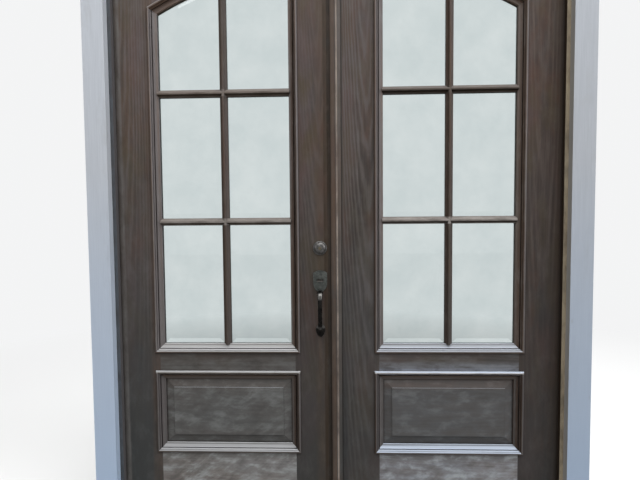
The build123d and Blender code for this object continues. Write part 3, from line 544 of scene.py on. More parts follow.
def rounded_path(u, arched):
    """The loop of a moulding at distance u inwards from its outer edge: x and z of the right leaf."""
    x0 = OPEN_IN - MOULDING_LAP + u
    x1 = OPEN_OUT + MOULDING_LAP - u
    if not arched:
        z0, z1 = PANEL_Z - MOULDING_LAP + u, RAIL_Z + MOULDING_LAP - u
        return [(x0, z0), (x1, z0), (x1, z1), (x0, z1)]
    radius = OPEN_RADIUS + MOULDING_LAP - u
    start, end = math.asin(x1 / radius), math.asin(x0 / radius)
    loop = [(x0, LIGHT_Z - MOULDING_LAP + u), (x1, LIGHT_Z - MOULDING_LAP + u)]
    for n in range(33):
        turn = start + (end - start) * n / 32
        loop.append((radius * math.sin(turn), ARCH_Z + radius * math.cos(turn)))
    return loop


def moulding(arched, mirror, material, body, name):
    """A moulding frame on both faces of a leaf."""
    made = Build()
    depths = LIGHT_DEPTHS if arched else (PANEL_GROOVE, PANEL_GROOVE)
    sticks = [[0, 1], [1, 2], list(range(2, 35)), [34, 0]] if arched else [[0, 1], [1, 2], [2, 3], [3, 0]]
    for depth, (face_y, sign) in zip(depths, LEAF_FACES):
        loops = []
        for u, v in moulding_profile(depth):
            loops.append([Vector((x, face_y + sign * v, z)) for x, z in rounded_path(u, arched)])
        for number, stick in enumerate(sticks):
            rows = [[loop[n] for n in stick] for loop in loops]
            made.grid(rows, close_rows=True, flip=sign > 0, grain_from=1.7 * number)
    return made.made(name, material, body, "stained_wood", 28.0, mirror)


def muntin_profile(depth):
    """Section of a glazing bar: u across it, v proud of the leaf."""
    half, nose = MUNTIN_W / 2, MUNTIN_NOSE / 2
    side = arc((half, -0.012), (nose + 0.0004, -0.0006), 0.17, 7)
    top = []
    for n in range(9):
        turn = math.pi * n / 8
        top.append((nose * math.cos(turn), MUNTIN_PROUD * math.sin(turn)**0.6 - 0.0003))
    right = [(half, -depth)] + side
    left = [(-u, v) for u, v in reversed(right)]
    return right + top + left


def glazing_bars(mirror, material, body, name):
    """One upright and two cross bars, on both faces of a leaf."""
    made = Build()
    inset = 0.004
    for depth, (face_y, sign) in zip(LIGHT_DEPTHS, LEAF_FACES):
        profile = muntin_profile(depth)
        rows = []
        for u, v in profile:
            x = MUNTIN_X + u
            top = ARCH_Z + math.sqrt(SIGHT_RADIUS**2 - x**2) + inset
            steps = [SIGHT_Z - inset + (top - SIGHT_Z + inset) * n / 6 for n in range(7)]
            rows.append([(x, face_y + sign * v, z) for z in steps])
        made.grid(rows, close_rows=True, flip=sign < 0)
        for z in ROW_ZS:
            for x0, x1 in ((SIGHT_IN - inset, MUNTIN_X), (MUNTIN_X, SIGHT_OUT + inset)):
                rows = []
                for u, v in profile:
                    rows.append([(x0 + (x1 - x0) * n / 4, face_y + sign * v, z - u) for n in range(5)])
                made.grid(rows, close_rows=True, flip=sign < 0)
    return made.made(name, material, body, "stained_wood", 40.0, mirror)


def spot(x, z, inside=False):
    """Local axes on a leaf's face: right, up and out, as a function from local to part places."""
    if inside:
        return lambda u, v, w: (x - u, LEAF_T + w, z + v)
    return lambda u, v, w: (x + u, -w, z + v)


def around(steps):
    """The angles of a full turn in equal steps."""
    return [2 * math.pi * n / steps for n in range(steps)]


def circle(place, radius, out, steps):
    """A ring of points round a local axis."""
    return [place(radius * math.cos(a), radius * math.sin(a), out) for a in around(steps)]


def turned(made, place, profile, steps=48, hollow=False):
    """A turned shape on a local axis, from (radius, height) points, foot first."""
    rows = [circle(place, radius, out, steps) for radius, out in profile]
    made.grid(rows, close_cols=True)
    if not hollow:
        made.cap(rows[-1])


def stacked(made, place, outline, levels):
    """A plate whose outline shrinks as it rises: levels are (share of the outline, height)."""
    cx = sum(p[0] for p in outline) / len(outline)
    cz = sum(p[1] for p in outline) / len(outline)
    rows = [[place(cx + (u - cx) * k, cz + (v - cz) * k, out) for u, v in outline] for k, out in levels]
    made.grid(rows, close_cols=True)
    made.cap(rows[-1])


def through(points, per_span=5):
    """Points of a smooth curve that passes through the given ones."""
    padded = [points[0]] + list(points) + [points[-1]]
    found = []
    for a, b, c, d in zip(padded, padded[1:], padded[2:], padded[3:]):
        for n in range(per_span):
            t = n / per_span
            place = []
            for p, q, r, w in zip(a, b, c, d):
                square, cube = 2 * p - 5 * q + 4 * r - w, 3 * q - p - 3 * r + w
                place.append(0.5 * (2 * q + (r - p) * t + square * t**2 + cube * t**3))
            found.append(tuple(place))
    return found + [tuple(points[-1])]


def screw(made, place, u, v, radius, steps=24):
    """A countersunk screw head with a cross recess, at u, v on local axes."""
    arm, half = radius * 0.58, radius * 0.13

    def recess(angle):
        folded = abs((angle + math.pi / 4) % (math.pi / 2) - math.pi / 4)
        return min(arm / math.cos(folded), half / max(math.sin(folded), 1e-6))

    def at(a, b, out):
        return place(u + a, v + b, out)

    head = ((1.0, -0.0003), (1.0, 0.00015), (0.86, 0.0004), (0.7, 0.0005))
    rows = [circle(at, radius * share, out, steps) for share, out in head]
    for out in (0.00052, -0.0009):
        rows.append([at(recess(a) * math.cos(a), recess(a) * math.sin(a), out) for a in around(steps)])
    made.grid(rows, close_cols=True)
    made.cap(rows[-1])


def rose_profile(hole):
    """A lock cover with a raised rim, a cove and a boss round its hole."""
    rim = ((0, 0), (0, 0.0018), (0.0006, 0.0030), (0.0018, 0.0036), (0.0030, 0.0034), (0.0036, 0.0037),
           (0.0046, 0.0056), (0.0072, 0.0086), (0.0105, 0.0108), (0.0135, 0.0119))
    boss = ((0.0052, 0.0121), (0.0042, 0.0118), (0.0036, 0.0120), (0.0016, 0.0129), (0.0004, 0.0129),
            (0, 0.0125), (0, 0.004))
    return [(ROSE_R - u, w) for u, w in rim] + [(hole + u, w) for u, w in boss]


def grip_piece(material):
    """The bowed grip, swelling at its top bend, and its foot plate with a rim."""
    made = Build()
    place = spot(LOCK_X, LATCH_Z)
    stations = (
        (0.0050, -0.0395, 0.0062, 0.0088), (0.0150, -0.0394, 0.0064, 0.0100),
        (0.0270, -0.0404, 0.0066, 0.0116), (0.0385, -0.0440, 0.0066, 0.0118),
        (0.0465, -0.0520, 0.0064, 0.0106), (0.0505, -0.0640, 0.0062, 0.0092),
        (0.0522, -0.0800, 0.0062, 0.0086), (0.0529, -0.1000, 0.0064, 0.0087),
        (0.0525, -0.1200, 0.0064, 0.0087), (0.0513, -0.1400, 0.0062, 0.0085),
        (0.0493, -0.1580, 0.0060, 0.0083), (0.0448, -0.1755, 0.0058, 0.0088),
        (0.0372, -0.1890, 0.0057, 0.0098), (0.0260, -0.1978, 0.0055, 0.0096),
        (0.0140, -0.2018, 0.0052, 0.0088), (0.0025, -0.2036, 0.0052, 0.0086),
    )
    line = through(stations)
    rows = []
    for n, (out, rise, thick, wide) in enumerate(line):
        before, after = line[max(n - 1, 0)], line[min(n + 1, len(line) - 1)]
        run = math.hypot(after[0] - before[0], after[1] - before[1])
        along_out, along_rise = (after[0] - before[0]) / run, (after[1] - before[1]) / run
        ring = []
        for turn in around(24):
            c, d = math.cos(turn), math.sin(turn)
            u = wide * math.copysign(abs(c)**0.85, c)
            t = thick * math.copysign(abs(d)**0.85, d)
            ring.append(place(u, rise + along_out * t, out - along_rise * t))
        rows.append(ring)
    made.grid(rows, close_cols=True, flip=True)
    foot = []
    for turn in around(56):
        v = math.sin(turn)
        wide = 0.0190 * (1 + 0.10 * v) * math.cos(turn)
        half_height = 0.0250 if v > 0 else 0.0285
        foot.append((wide * (1 - 0.12 * max(0, -v)**2), -0.2030 + half_height * v))
    levels = ((1.0, 0), (1.0, 0.0016), (0.965, 0.0028), (0.90, 0.0034), (0.84, 0.0031), (0.78, 0.0034),
              (0.66, 0.0046), (0.40, 0.0056), (0.15, 0.0059))
    stacked(made, place, foot, levels)
    return made.made("handle_grip_cast", material, "left_door", "dark_bronze", 42.0)


def rose_piece(material):
    """The dead bolt's outside rose and the two inside roses."""
    made = Build()
    roses = ((DEADBOLT_Z, False, 0.00655), (DEADBOLT_Z, True, 0.00505), (LATCH_Z, True, 0.01005))
    for z, inside, hole in roses:
        turned(made, spot(LOCK_X, z, inside), rose_profile(hole), 64, hollow=True)
    return made.made("rosettes_turned", material, "left_door", "dark_bronze", 30.0)


def knob_piece(material):
    """The inside knob, egg shaped on a waisted neck with a collar."""
    made = Build()
    profile = ((0.0100, 0.004), (0.0100, 0.0150), (0.0112, 0.0158), (0.0116, 0.0172), (0.0112, 0.0186),
               (0.0098, 0.0196), (0.0094, 0.0225), (0.0100, 0.0262), (0.0125, 0.0300), (0.0170, 0.0335),
               (0.0222, 0.0368), (0.0258, 0.0405), (0.0276, 0.0445), (0.0280, 0.0475), (0.0276, 0.0505),
               (0.0262, 0.0536), (0.0238, 0.0564), (0.0205, 0.0586), (0.0165, 0.0600), (0.0120, 0.0609),
               (0.0075, 0.0614), (0.0030, 0.0616), (0.0004, 0.0616))
    turned(made, spot(LOCK_X, LATCH_Z, True), profile, 64)
    return made.made("inside_knob_turned", material, "inside_knob", "dark_bronze", 50.0)


def turn_piece(material):
    """The inside turn: a shaft, a collar and an oval wing with soft edges."""
    made = Build()
    place = spot(LOCK_X, DEADBOLT_Z, True)
    shaft = ((0.0050, 0.002), (0.0050, 0.0132), (0.0072, 0.0140), (0.0074, 0.0152), (0.0060, 0.0164))
    turned(made, place, shaft, 40)
    levels = ((0.55, 0.0148), (0.80, 0.0156), (0.95, 0.0176), (1.0, 0.0205), (1.0, 0.0245), (0.97, 0.0280),
              (0.90, 0.0306), (0.76, 0.0324), (0.50, 0.0330))
    rows = []
    for share, out in levels:
        half_thick, half_long = 0.0054 * share, 0.0168 * (0.25 + 0.75 * share)
        ring = []
        for turn in around(48):
            rise = math.sin(turn)
            across = half_thick * math.cos(turn)
            ring.append(place(across, half_long * math.copysign(abs(rise)**0.8, rise), out))
        rows.append(ring)
    made.grid(rows, close_cols=True)
    made.cap(rows[-1])
    made.cap(rows[0], flip=True)
    return made.made("thumb_turn_cast", material, "thumb_turn", "dark_bronze", 40.0)


def block(made, low, high, edge=0.0005):
    """A block between two corners with its upper and lower arrises taken off."""
    rows = []
    for inset, z in ((edge, low[2]), (0, low[2] + edge), (0, high[2] - edge), (edge, high[2])):
        x0, x1, y0, y1 = low[0] + inset, high[0] - inset, low[1] + inset, high[1] - inset
        rows.append([(x0, y0, z), (x1, y0, z), (x1, y1, z), (x0, y1, z)])
    made.grid(rows, close_cols=True)
    made.cap(rows[0], flip=True)
    made.cap(rows[-1])


def rounded_plate(made, place, half_u, half_v, thick, radius=0.003, edge=0.0005):
    """A plate with rounded corners and soft edges, from -thick up to 0 on a local axis."""
    rows = []
    for inset, out in ((0, -thick), (0, -edge), (edge * 0.4, -edge * 0.3), (edge, 0.0)):
        ring = []
        for corner, (su, sv) in enumerate(((1, 1), (-1, 1), (-1, -1), (1, -1))):
            for n in range(6):
                turn = math.pi / 2 * (corner + n / 5)
                ring.append(place(su * (half_u - radius) + (radius - inset) * math.cos(turn),
                                  sv * (half_v - radius) + (radius - inset) * math.sin(turn), out))
        rows.append(ring)
    made.grid(rows, close_cols=True)
    made.cap(rows[-1])


def on_axis(foot):
    """Local axes of a hinge's pin, from a height up."""
    return lambda u, v, w: (AXIS_X + u, AXIS_Y + v, foot + w)


def hinge_piece(of_jamb, mirror, material, body, name):
    """Hinge plates with their screws, round knuckles and, on the jamb, pins with button tips."""
    made = Build()
    face_x = HINGE_EDGE + (EDGE_GAP if of_jamb else 0.0)
    way = -1 if of_jamb else 1
    y0 = AXIS_Y - HINGE_L
    length = (HINGE_H - 2 * KNUCKLE_GAP) / 3
    middle_y, half_y = (y0 + LEAF_T) / 2, (LEAF_T - y0) / 2
    x0, x1 = sorted((face_x, face_x - way * HINGE_T))
    screws = ((0.006, -0.038), (-0.007, -0.014), (-0.007, 0.014), (0.006, 0.038))
    soft = 0.0005
    rim = ((0.0032, 0.0), (BARREL_R - soft, 0.0), (BARREL_R, soft), (BARREL_R, length - soft),
           (BARREL_R - soft, length), (0.0032, length))
    tip = ((0.0028, -HINGE_H + 0.001), (0.0028, 0.0), (0.0046, 0.0), (0.0050, 0.0008), (0.0050, 0.0022),
           (0.0042, 0.0033), (0.0024, 0.0039), (0.0006, 0.0040))
    for z in HINGE_ZS:
        def on_plate(u, v, w, z=z):
            return (face_x + way * w, middle_y + way * u, z + v)

        rounded_plate(made, on_plate, half_y, HINGE_H / 2, HINGE_T)
        for u, v in screws:
            screw(made, on_plate, u * way, v, 0.0042)
        for n in ((0, 2) if of_jamb else (1,)):
            start = z - HINGE_H / 2 + n * (length + KNUCKLE_GAP)
            block(made, (x0, LEAF_T - 0.001, start), (x1, AXIS_Y, start + length), 0.0003)
            turned(made, on_axis(start), rim, 32, hollow=True)
        if of_jamb:
            turned(made, on_axis(z + HINGE_H / 2), tip, 28)
    if of_jamb:
        count = len(made.verts)
        made.faces += [[v + count for v in reversed(face)] for face in made.faces]
        made.verts += [(-x, y, z) for x, y, z in made.verts]
        made.uvs *= 2
    return made.made(name, material, body, "hinge_steel", 32.0, mirror)


def bolt_blocks(sign):
    """Where the two guide blocks of a surface bolt sit, and the span of its plate."""
    near, far = ROD_ENDS[sign] - sign * 0.022, ROD_ENDS[sign] - sign * 0.238
    return near, far, (near - sign * BLOCK_HALF, far + sign * BLOCK_HALF)


def bolt_guide_piece(material):
    """Plates of the two surface bolts with half-round guides and four screws each."""
    made = Build()
    flank = ((0.0112, 0.0), (0.0112, 0.0060), (0.0098, 0.0104), (0.0060, 0.0122))
    outline = through(flank + ((0.0, 0.0124),) + tuple((-u, w) for u, w in reversed(flank)), 4)
    inner = ((0.0073, 0.0), (0.0073, 0.0083), (-0.0073, 0.0083), (-0.0073, 0.0))
    turns = [len(outline) * part for part in (0.16, 0.5, 0.84)]
    seat = LEAF_T + 0.0024
    for sign in (1, -1):
        near, far, blocks = bolt_blocks(sign)
        middle = (near + far) / 2

        def on_plate(u, v, w, middle=middle):
            return (ROD_X - u, LEAF_T + GUIDE_T + w, middle + v)

        rounded_plate(made, on_plate, GUIDE_HALF, abs(near - far) / 2, GUIDE_T, 0.005)
        for v in (-0.079, 0.079):
            for u in (-0.0115, 0.0115):
                screw(made, on_plate, u, v, 0.0034)
        for z in blocks:
            rows = []
            for inset, end in ((0.0006, -BLOCK_HALF), (0.0, -0.0074), (0.0, 0.0074), (0.0006, BLOCK_HALF)):
                share = 1 - inset * 60
                rows.append([(ROD_X + u * share, seat + w * share, z + end) for u, w in outline])
            made.grid(rows, flip=True)
            tunnel = [[(ROD_X + u, seat + w, z + end) for u, w in inner] for end in (-BLOCK_HALF, BLOCK_HALF)]
            made.grid(tunnel)
            for end, flip in ((0, False), (-1, True)):
                picks = [tunnel[end][sum(n >= turn for turn in turns)] for n in range(len(outline))]
                made.grid([rows[end], picks], flip=flip)
    return made.made("surface_bolt_guides_cast", material, "right_door", "dark_bronze", 38.0)


def bolt_rod_piece(node, sign, material):
    """The bar of a surface bolt with soft edges and a turned knob."""
    made = Build()
    end = ROD_ENDS[sign]
    low, high = sorted((end, end - sign * ROD_L))
    block(made, (ROD_X - ROD_HALF, ROD_Y, low), (ROD_X + ROD_HALF, ROD_Y + ROD_T, high), 0.0008)
    *_, blocks = bolt_blocks(sign)
    knob_z = sum(blocks) / 2 - sign * 0.009
    profile = ((0.0042, -0.001), (0.0042, 0.0010), (0.0030, 0.0022), (0.0027, 0.0045), (0.0031, 0.0065),
               (0.0042, 0.0080), (0.0049, 0.0098), (0.0050, 0.0115), (0.0047, 0.0134), (0.0038, 0.0149),
               (0.0022, 0.0158), (0.0004, 0.0160))
    turned(made, lambda u, v, w: (ROD_X - u, ROD_Y + ROD_T + w, knob_z + v), profile, 32)
    return made.made(f"{node}_turned", material, node, "dark_bronze", 40.0)


def edge_screws(material):
    """Screws of the faceplates and strikes in the two meeting edges."""
    for name, body, x, way in (("faceplate_screws", "left_door", -SEAM, 1),
                               ("strike_screws", "right_door", SEAM - STRIKE_T, -1)):
        def on_edge(u, v, w, x=x, way=way):
            return (x + way * w, LEAF_T / 2 + way * u, v)

        made = Build()
        for z in (DEADBOLT_Z, LATCH_Z):
            for v in (-0.0225, 0.0225):
                screw(made, on_edge, 0.0, z + v, 0.0036, 32)
        made.made(name, material, body, "dark_bronze", 32.0)


def sill_ribs(material):
    """Fine ribs along the sloping deck, against slipping."""
    made = Build()
    slope = 0.014 / 0.090
    ridge = ((-0.0016, -0.0004), (-0.0011, 0.0004), (0.0, 0.0007), (0.0011, 0.0004), (0.0016, -0.0004))
    for y in [-0.088 + RIB_PITCH * n for n in range(RIBS)]:
        z = 0.0165 + slope * (y + 0.0985) * 0.955 + 0.0005
        made.grid([[(x, y + u, z + w + slope * u) for x in (-0.905, -0.3, 0.3, 0.905)] for u, w in ridge])
    made.made("sill_deck_ribs", material, "frame", "sill_aluminium", 60.0)


# How wide the arrises are taken off
LEAF_ARRIS = 0.0007
FRAME_ARRIS = 0.0008
CASING_ARRIS = 0.002
METAL_ARRIS = 0.0004

# Materials
bronze = aged_metal("dark_bronze", (0.030, 0.027, 0.024), (0.105, 0.098, 0.090), 1.0)
pewter = aged_metal("rubbed_bronze", (0.045, 0.043, 0.040), (0.20, 0.195, 0.19), 3.0, (0.30, 0.52),
                    size=110.0)
plate_bronze = aged_metal("plate_bronze", (0.046, 0.052, 0.048), (0.150, 0.158, 0.148), 2.0, (0.36, 0.58),
                          size=90.0)
# Worn spots and painted highlights on the grip's top bend and near its foot
grip_wear_and_highlights = ((LATCH_Z - 0.062, LATCH_Z - 0.044, 0.008, 0.50), (LATCH_Z - 0.192, LATCH_Z - 0.184, 0.006, 0.35))
black_bronze = aged_metal("black_bronze", (0.008, 0.0075, 0.007), (0.028, 0.026, 0.024), 4.0, (0.20, 0.38),
                          rubbed_and_lit=grip_wear_and_highlights)
brass = aged_metal("plug_brass", (0.085, 0.072, 0.050), (0.20, 0.175, 0.125), 5.0)
steel = brushed_metal("hinge_steel", (0.20, 0.195, 0.19), (0.42, 0.41, 0.40), "Z", 2.0)
aluminium = brushed_metal("sill_aluminium", (0.34, 0.345, 0.35), (0.60, 0.605, 0.61), "X", 4.0)
seal = rubber("seal", (0.018, 0.018, 0.019))
glass = window_glass("glass")


def dress(node, material, bevel=0.0):
    """Gives a CAD node its material and soft arrises."""
    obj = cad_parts[node]
    obj.data.materials.clear()
    obj.data.materials.append(material)
    if bevel:
        soft = obj.modifiers.new("arris", "BEVEL")
        soft.width = bevel
        soft.segments = 2
        soft.limit_method = "ANGLE"
        soft.angle_limit = math.radians(32)
        soft.use_clamp_overlap = True


def timber(node, bevel, *look, **more):
    """Gives a CAD node a weathered wood of its own."""
    dress(node, weathered_wood(node, *look, **more), bevel)


# Each jamb's colour outside and that of its other faces, as painted light and shade: the right jamb's other
# faces painted shade, the left's lit from the right
jamb_lit_and_shaded_faces = {
    "left": ((0.082, 0.092, 0.103), (0.098, 0.092, 0.096)),
    "right": ((0.345, 0.287, 0.203), (0.021, 0.012, 0.006)),
}

# Stains, painted shadows and painted highlights of single places, as weathered_wood takes them, and shades of
# those made in the loop below
bead_stains = (
    ("X", -0.040, -0.0045, 0.0015, (0.100, 0.066, 0.046), 0.95),
    # Painted shadow at the astragal's left edge
    ("X", -0.040, -0.0215, 0.0060, (0.030, 0.018, 0.010), 0.80),
    ("X", 0.0070, 0.040, 0.0015, (0.086, 0.075, 0.065), 0.8),
    # Painted shadow right of the bead, low down
    ("X", 0.0110, 0.040, 0.0040, (0.026, 0.028, 0.029), 0.8, 0.7),
    # Painted highlight on the bead
    ("Y", -0.030, -0.0158, 0.0008, (0.325, 0.272, 0.232), 0.95),
)
above_panel = {
    "left": (("Z", RAIL_Z + 0.020, RAIL_Z + 0.060, 0.025, (0.112, 0.111, 0.106), 0.7),),
    "right": (("Z", RAIL_Z + 0.020, RAIL_Z + 0.045, 0.020, (0.150, 0.157, 0.174), 1.0),
              ("Z", RAIL_Z + 0.016, RAIL_Z + 0.028, 0.008, (0.240, 0.270, 0.330), 0.7)),
}
# The panel field's own grey, and the painted shadow of the moulding over the panel's top
field_stains = {
    "left": (("Z", PANEL_Z, RAIL_Z, 0.010, (0.088, 0.092, 0.089), 0.80),
             ("Z", RAIL_Z - REVEAL - 0.034, RAIL_Z, 0.012, (0.070, 0.052, 0.042), 0.55)),
    "right": (("Z", PANEL_Z, RAIL_Z, 0.010, (0.068, 0.073, 0.078), 0.85),
              ("Z", RAIL_Z - REVEAL - 0.034, RAIL_Z, 0.012, (0.080, 0.052, 0.040), 0.75)),
}
rail_shades = {
    "left": ((0.176, 0.182, 0.180), (0.092, 0.088, 0.082)),
    "right": ((0.200, 0.222, 0.255), (0.085, 0.080, 0.076)),
}
BEAD_FOOT = RAIL_Z + MOULDING_LAP - BEAD_W + 0.003
# Painted highlight on the top bead of the panel moulding
bead_highlights = {"left": (0.370, 0.360, 0.335), "right": (0.640, 0.620, 0.600)}
# Painted light on the cross bars: the lower row's colour and the upper row's
bar_row_light = {
    "left": ((0.360, 0.335, 0.312), (0.235, 0.205, 0.184)),
    "right": ((0.430, 0.395, 0.370), (0.110, 0.092, 0.080)),
}
# Painted shade on the hinge side stick of the right leaf's glazing moulding
light_stains = (("X", SIGHT_OUT - 0.002, OPEN_OUT + 0.010, 0.003, (0.078, 0.053, 0.038), 0.7),)

# Each stile's step of the seed, tone, rings, rust, share darkened towards the ground, tint and stains, the
# stains with painted shadow beside the astragal and painted shade beside the right jamb
STILES = {
    "left": {
        "meeting": (7, 0.93, 0.30, 1.00, 0.80, (1.0, 0.855, 0.785),
                    (("X", -0.072, -0.040, 0.024, (0.070, 0.045, 0.027), 0.5),
                     # Painted shadow of the astragal on the meeting stile, in two strengths
                     ("X", -0.050, -0.020, 0.005, (0.024, 0.014, 0.006), 1.0),
                     ("X", -0.036, -0.020, 0.003, (0.008, 0.004, 0.001), 1.0))),
        "hinge": (5, 1.09, 0.30, 0.60, 0.95, (1.0, 0.94, 0.91),
                  (("X", -0.775, -0.745, 0.020, (0.098, 0.058, 0.038), 0.55),
                   ("X", -0.925, -0.891, 0.007, (0.128, 0.121, 0.115), 0.80))),
    },
    "right": {
        "meeting": (7, 0.98, 0.45, 0.55, 0.60, WARM,
                    # Painted shadow beside the astragal, the second only low down
                    (("X", 0.017, 0.0245, 0.004, (0.026, 0.026, 0.022), 0.7),
                     ("X", 0.010, 0.036, 0.014, (0.018, 0.020, 0.022), 0.8, 0.7))),
        "hinge": (5, 0.83, 0.25, 1.00, 0.65, (1.0, 0.83, 0.75),
                  # Painted shade beside the jamb's stop
                  (("X", 0.905, 0.925, 0.040, (0.030, 0.018, 0.009), 0.85),
                   ("X", 0.914, 0.925, 0.006, (0.010, 0.005, 0.002), 0.95))),
    },
}

for number, side in enumerate(("left", "right")):
    seed = 3.1 + 7.7 * number
    left = side == "left"
    for kind, (step, tone, rings, rust, low_share, cast, stains) in STILES[side].items():
        timber(f"{side}_{kind}_stile", LEAF_ARRIS, "Z", seed + step, tone, rings, rust=rust,
               low_share=low_share, stains=stains, cast=cast, gloss=0.26)
    timber(f"{side}_top_rail", LEAF_ARRIS, "X", seed + 2.2, 1.1)
    timber(f"{side}_middle_rail", LEAF_ARRIS, "X", seed + 3.4, 0.92 if left else 1.12, 0.2, ribbon=0.15,
           stains=above_panel[side], mottle=0.3)
    face, upper = rail_shades[side]
    rail_stains = (("Z", LEAF_Z, PANEL_Z - 0.020, 0.020, face, 0.8),
                   ("Z", PANEL_Z - 0.040, PANEL_Z, 0.015, upper, 0.7))
    timber(f"{side}_bottom_rail", LEAF_ARRIS, "X", seed + 4.1, 2.9 if left else 3.3, 0.15, 0.9,
           0.9 if left else 0.4, rust=0.1, low_share=0.1, stains=rail_stains, mottle=0.5,
           cast=(1.0, 0.967, 0.938) if left else (1.0, 0.988, 0.978))
    timber(f"{side}_panel", 0.0010, "X", seed + 5.6, 1.7, 0.18, 1.0, 0.6 if left else 0.2, 0.7,
           catch=(0.42, 0.8), under=(0.030, 0.026, 0.024), rust=0.12, lee=0.5,
           stains=field_stains[side], mottle=0.34 if left else 0.26)
    body = f"{side}_door"
    # Top colours of the sticks: weathered silver with painted light from above, brighter and bluer on the
    # right
    light_top = (0.46, 0.46, 0.46) if left else (0.44, 0.47, 0.52)
    panel_top = (0.40, 0.405, 0.415) if left else (0.50, 0.565, 0.67)
    # Painted highlight on the panel moulding's top bead
    panel_stains = (("Z", BEAD_FOOT, RAIL_Z + 0.040, 0.002, bead_highlights[side], 1.0),)
    for kind, arched, tone, top, stains in (("light", True, 1.9, light_top, light_stains),
                                            ("panel", False, 1.4, panel_top, panel_stains)):
        wood = weathered_wood(f"{side}_{kind}_sticks", "UV", seed + 6.2, tone, bleach_and_light=0.95, top=top,
                              catch=(0.02, 0.30), under=(0.125, 0.074, 0.046), crevice=0.4, rust=0.3,
                              lee=0.95, stains=stains)
        ring = moulding(arched, left, wood, body, f"{side}_{kind}_moulding_run")
        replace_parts(ring, f"{side}_{kind}_moulding")
    # Painted light on the cross bars, one colour for each row
    rows = zip(ROW_ZS, bar_row_light[side])
    bar_stains = [("Z", z - 0.013, z + 0.012, 0.003, shade, 0.8) for z, shade in rows]
    # Painted shade on the bars' downward faces, darker on the right leaf
    bar_underside_shade = (0.045, 0.029, 0.017) if left else (0.016, 0.008, 0.002)
    bar_wood = weathered_wood(f"{side}_bars", "UV", seed + 6.9, 1.15, bleach_and_light=0.55, top=(0.190, 0.168, 0.154),
                              catch=(0.00, 0.35), under=bar_underside_shade, rust=0.5, lee=0.6, stains=bar_stains,
                              belly=(-0.30, -0.70), cast=(1.0, 0.885, 0.80), gloss=0.2)
    bars = glazing_bars(left, bar_wood, body, f"{side}_bars_run")
    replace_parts(bars, f"{side}_glazing_bars")
    dress(f"{side}_panes", glass)
    dress(f"{side}_sweep", seal)
    plates = hinge_piece(False, left, steel, body, f"{side}_hinge_leaves")
    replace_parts(plates, f"{side}_hinge_plates")
    front, flank = jamb_lit_and_shaded_faces[side]
    timber(f"jamb_{side}", FRAME_ARRIS, "Z", seed + 8.0, 0.8, front=front, flank=flank, gloss=0.2)
    # Casing paint tone, and on the right the faces turned left in painted shade
    tone, shaded_side = (1.18, None) if left else (0.95, (0.300, 0.285, 0.262))
    dress(f"casing_{side}", painted_wood(f"casing_{side}_paint", "Z", seed, tone, shaded_side), CASING_ARRIS)

# The head jamb's other faces darkened as painted shade
timber("head_jamb", FRAME_ARRIS, "X", 31.0, 0.8, front=(0.16, 0.15, 0.13), flank=(0.04, 0.032, 0.025))
dress("casing_head", painted_wood("casing_head_paint", "X", 33.0), CASING_ARRIS)
timber("astragal", FRAME_ARRIS, "Z", 35.0, 1.2, 0.15, stains=bead_stains, gloss=0.26)
dress("weatherstrip", seal)
timber("sill_base", 0.0, "X", 37.0, 1.5)
dress("sill_deck", aluminium, METAL_ARRIS)
riser_metal = brushed_metal("riser_metal", (0.10, 0.10, 0.10), (0.22, 0.22, 0.22), "X", 6.0)
dress("sill_riser", riser_metal, METAL_ARRIS)
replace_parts(hinge_piece(True, False, steel, "frame", "hinge_jamb_leaves"), "hinge_jamb_plates")
dress("bolt_keepers", bronze, 0.0007)
for node in ("strikes", "faceplates", "latch_bolt", "dead_bolt"):
    dress(node, pewter, METAL_ARRIS)
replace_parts(bolt_guide_piece(bronze), "surface_bolt_guides")
for node, sign in (("surface_bolt_top", 1), ("surface_bolt_bottom", -1)):
    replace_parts(bolt_rod_piece(node, sign, bronze), node)
edge_screws(pewter)
sill_ribs(aluminium)
dress("handle_plate", plate_bronze, 0.0009)
dress("thumb_piece", bronze, 0.0008)
dress("key_plug", brass, 0.0003)
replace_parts(grip_piece(black_bronze), "handle_grip")
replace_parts(rose_piece(pewter), "rosettes")
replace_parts(knob_piece(bronze), "inside_knob")
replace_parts(turn_piece(bronze), "thumb_turn")

# Floor, backdrop and light. The floor fades into the backdrop between two distances
FADE_FROM = 1.6
FADE_TO = 4.5
FLOOR_HALF = 14.0
stage = Shades("stage_paint")
stage_place = stage.coords()
clouds = stage.noise(stage_place, 0.6, 2.0)
near = stage.ramp(clouds, ((0.3, (0.80, 0.80, 0.795)), (0.7, (0.84, 0.84, 0.835))))
rays = stage.put("ShaderNodeLightPath").outputs
stage_paint = stage.finish(stage.blend(rays["Is Camera Ray"], (0.30, 0.30, 0.30), near), 0.9)
reach = stage.put("ShaderNodeVectorMath", {0: stage_place}, operation="LENGTH").outputs["Value"]
looked_at = stage.math("MAXIMUM", rays["Is Camera Ray"], rays["Is Transmission Ray"])
fade = stage.product(stage.span(reach, FADE_FROM, FADE_TO), looked_at)
glow = stage.put("ShaderNodeEmission", {"Color": BACKDROP, "Strength": 1.0}).outputs[0]
joined = stage.put("ShaderNodeMixShader", {0: fade, 1: stage.shader.outputs[0], 2: glow}).outputs[0]
stage.feed(next(n for n in stage.nodes if n.type == "OUTPUT_MATERIAL"), {"Surface": joined})


def lamp(name, size, energy, place, aim):
    """A soft rectangular lamp at a place, turned towards a point."""
    data = bpy.data.lights.new(name, "AREA")
    data.shape = "RECTANGLE"
    data.size, data.size_y = size
    data.energy = energy
    obj = bpy.data.objects.new(name, data)
    obj.location = place
    obj.rotation_euler = (Vector(aim) - Vector(place)).to_track_quat("-Z", "Y").to_euler()
    obj.visible_camera = False
    obj.visible_transmission = False
    bpy.context.scene.collection.objects.link(obj)


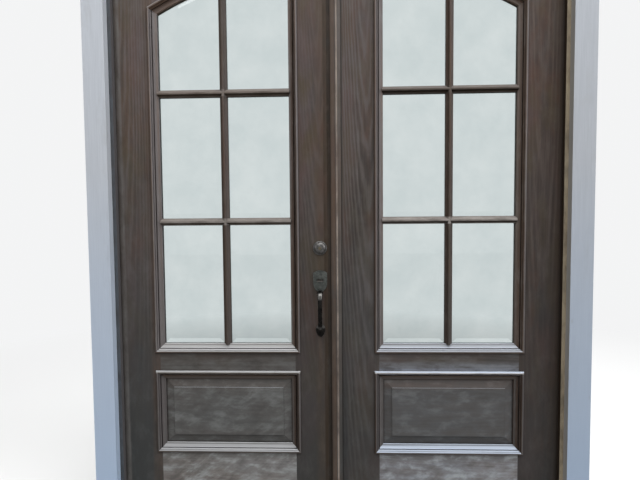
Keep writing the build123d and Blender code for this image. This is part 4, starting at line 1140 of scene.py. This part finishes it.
floor_mesh = bpy.data.meshes.new("floor")
corners = [(x * FLOOR_HALF, y * FLOOR_HALF, 0) for x, y in ((-1, -1), (1, -1), (1, 1), (-1, 1))]
floor_mesh.from_pydata(corners, [], [(0, 1, 2, 3)])
floor_mesh.materials.append(stage_paint)
floor = bpy.data.objects.new("floor", floor_mesh)
bpy.context.scene.collection.objects.link(floor)
floor.location = (0, 0, -0.0005)

lamp("sky_front", (8.0, 3.0), 335.0, (0.8, -2.6, 5.8), (0, 0, 1.0))
lamp("fill_right", (3.5, 3.5), 130.0, (7.0, -3.2, 3.6), (0, 0, 1.2))
lamp("back", (5.0, 3.0), 150.0, (0.8, 3.8, 4.6), (0, 0, 1.2))

world = bpy.data.worlds.new("studio")
bpy.context.scene.world = world
sky = Shades("studio", world)
rays = sky.put("ShaderNodeLightPath").outputs
seen = sky.math("MAXIMUM", rays["Is Camera Ray"], rays["Is Transmission Ray"])
mirrored = sky.math("MAXIMUM", seen, rays["Is Glossy Ray"])
dome = sky.span(sky.part_of("Generated", "Z"), -0.35, 0.6, 0.10, 0.62)
sky.feed(sky.shader, {"Color": BACKDROP, "Strength": sky.span(mirrored, 0.0, 1.0, dome, 1.0)})

# Camera as fitted to the photograph
CAMERA_AT = (0.00233, -1.98256, 1.299)
YAW, PITCH, ROLL = (math.radians(a) for a in (2.0444, 2.9584, -0.4860))
across = Vector((math.cos(YAW), math.sin(YAW), 0))
ahead = Vector((-math.sin(YAW), math.cos(YAW), 0)) * math.cos(PITCH) - Vector((0, 0, math.sin(PITCH)))
upward = across.cross(ahead)
right = across * math.cos(ROLL) + upward * math.sin(ROLL)
top = upward * math.cos(ROLL) - across * math.sin(ROLL)
eye = bpy.data.objects.new("camera", bpy.data.cameras.new("camera"))
eye.data.lens = 27.0
eye.data.sensor_width = 36.0
eye.matrix_world = Matrix.Translation(CAMERA_AT) @ Matrix((right, top, -ahead)).transposed().to_4x4()
bpy.context.scene.collection.objects.link(eye)
bpy.context.scene.camera = eye
bpy.context.scene.view_settings.view_transform = "Standard"
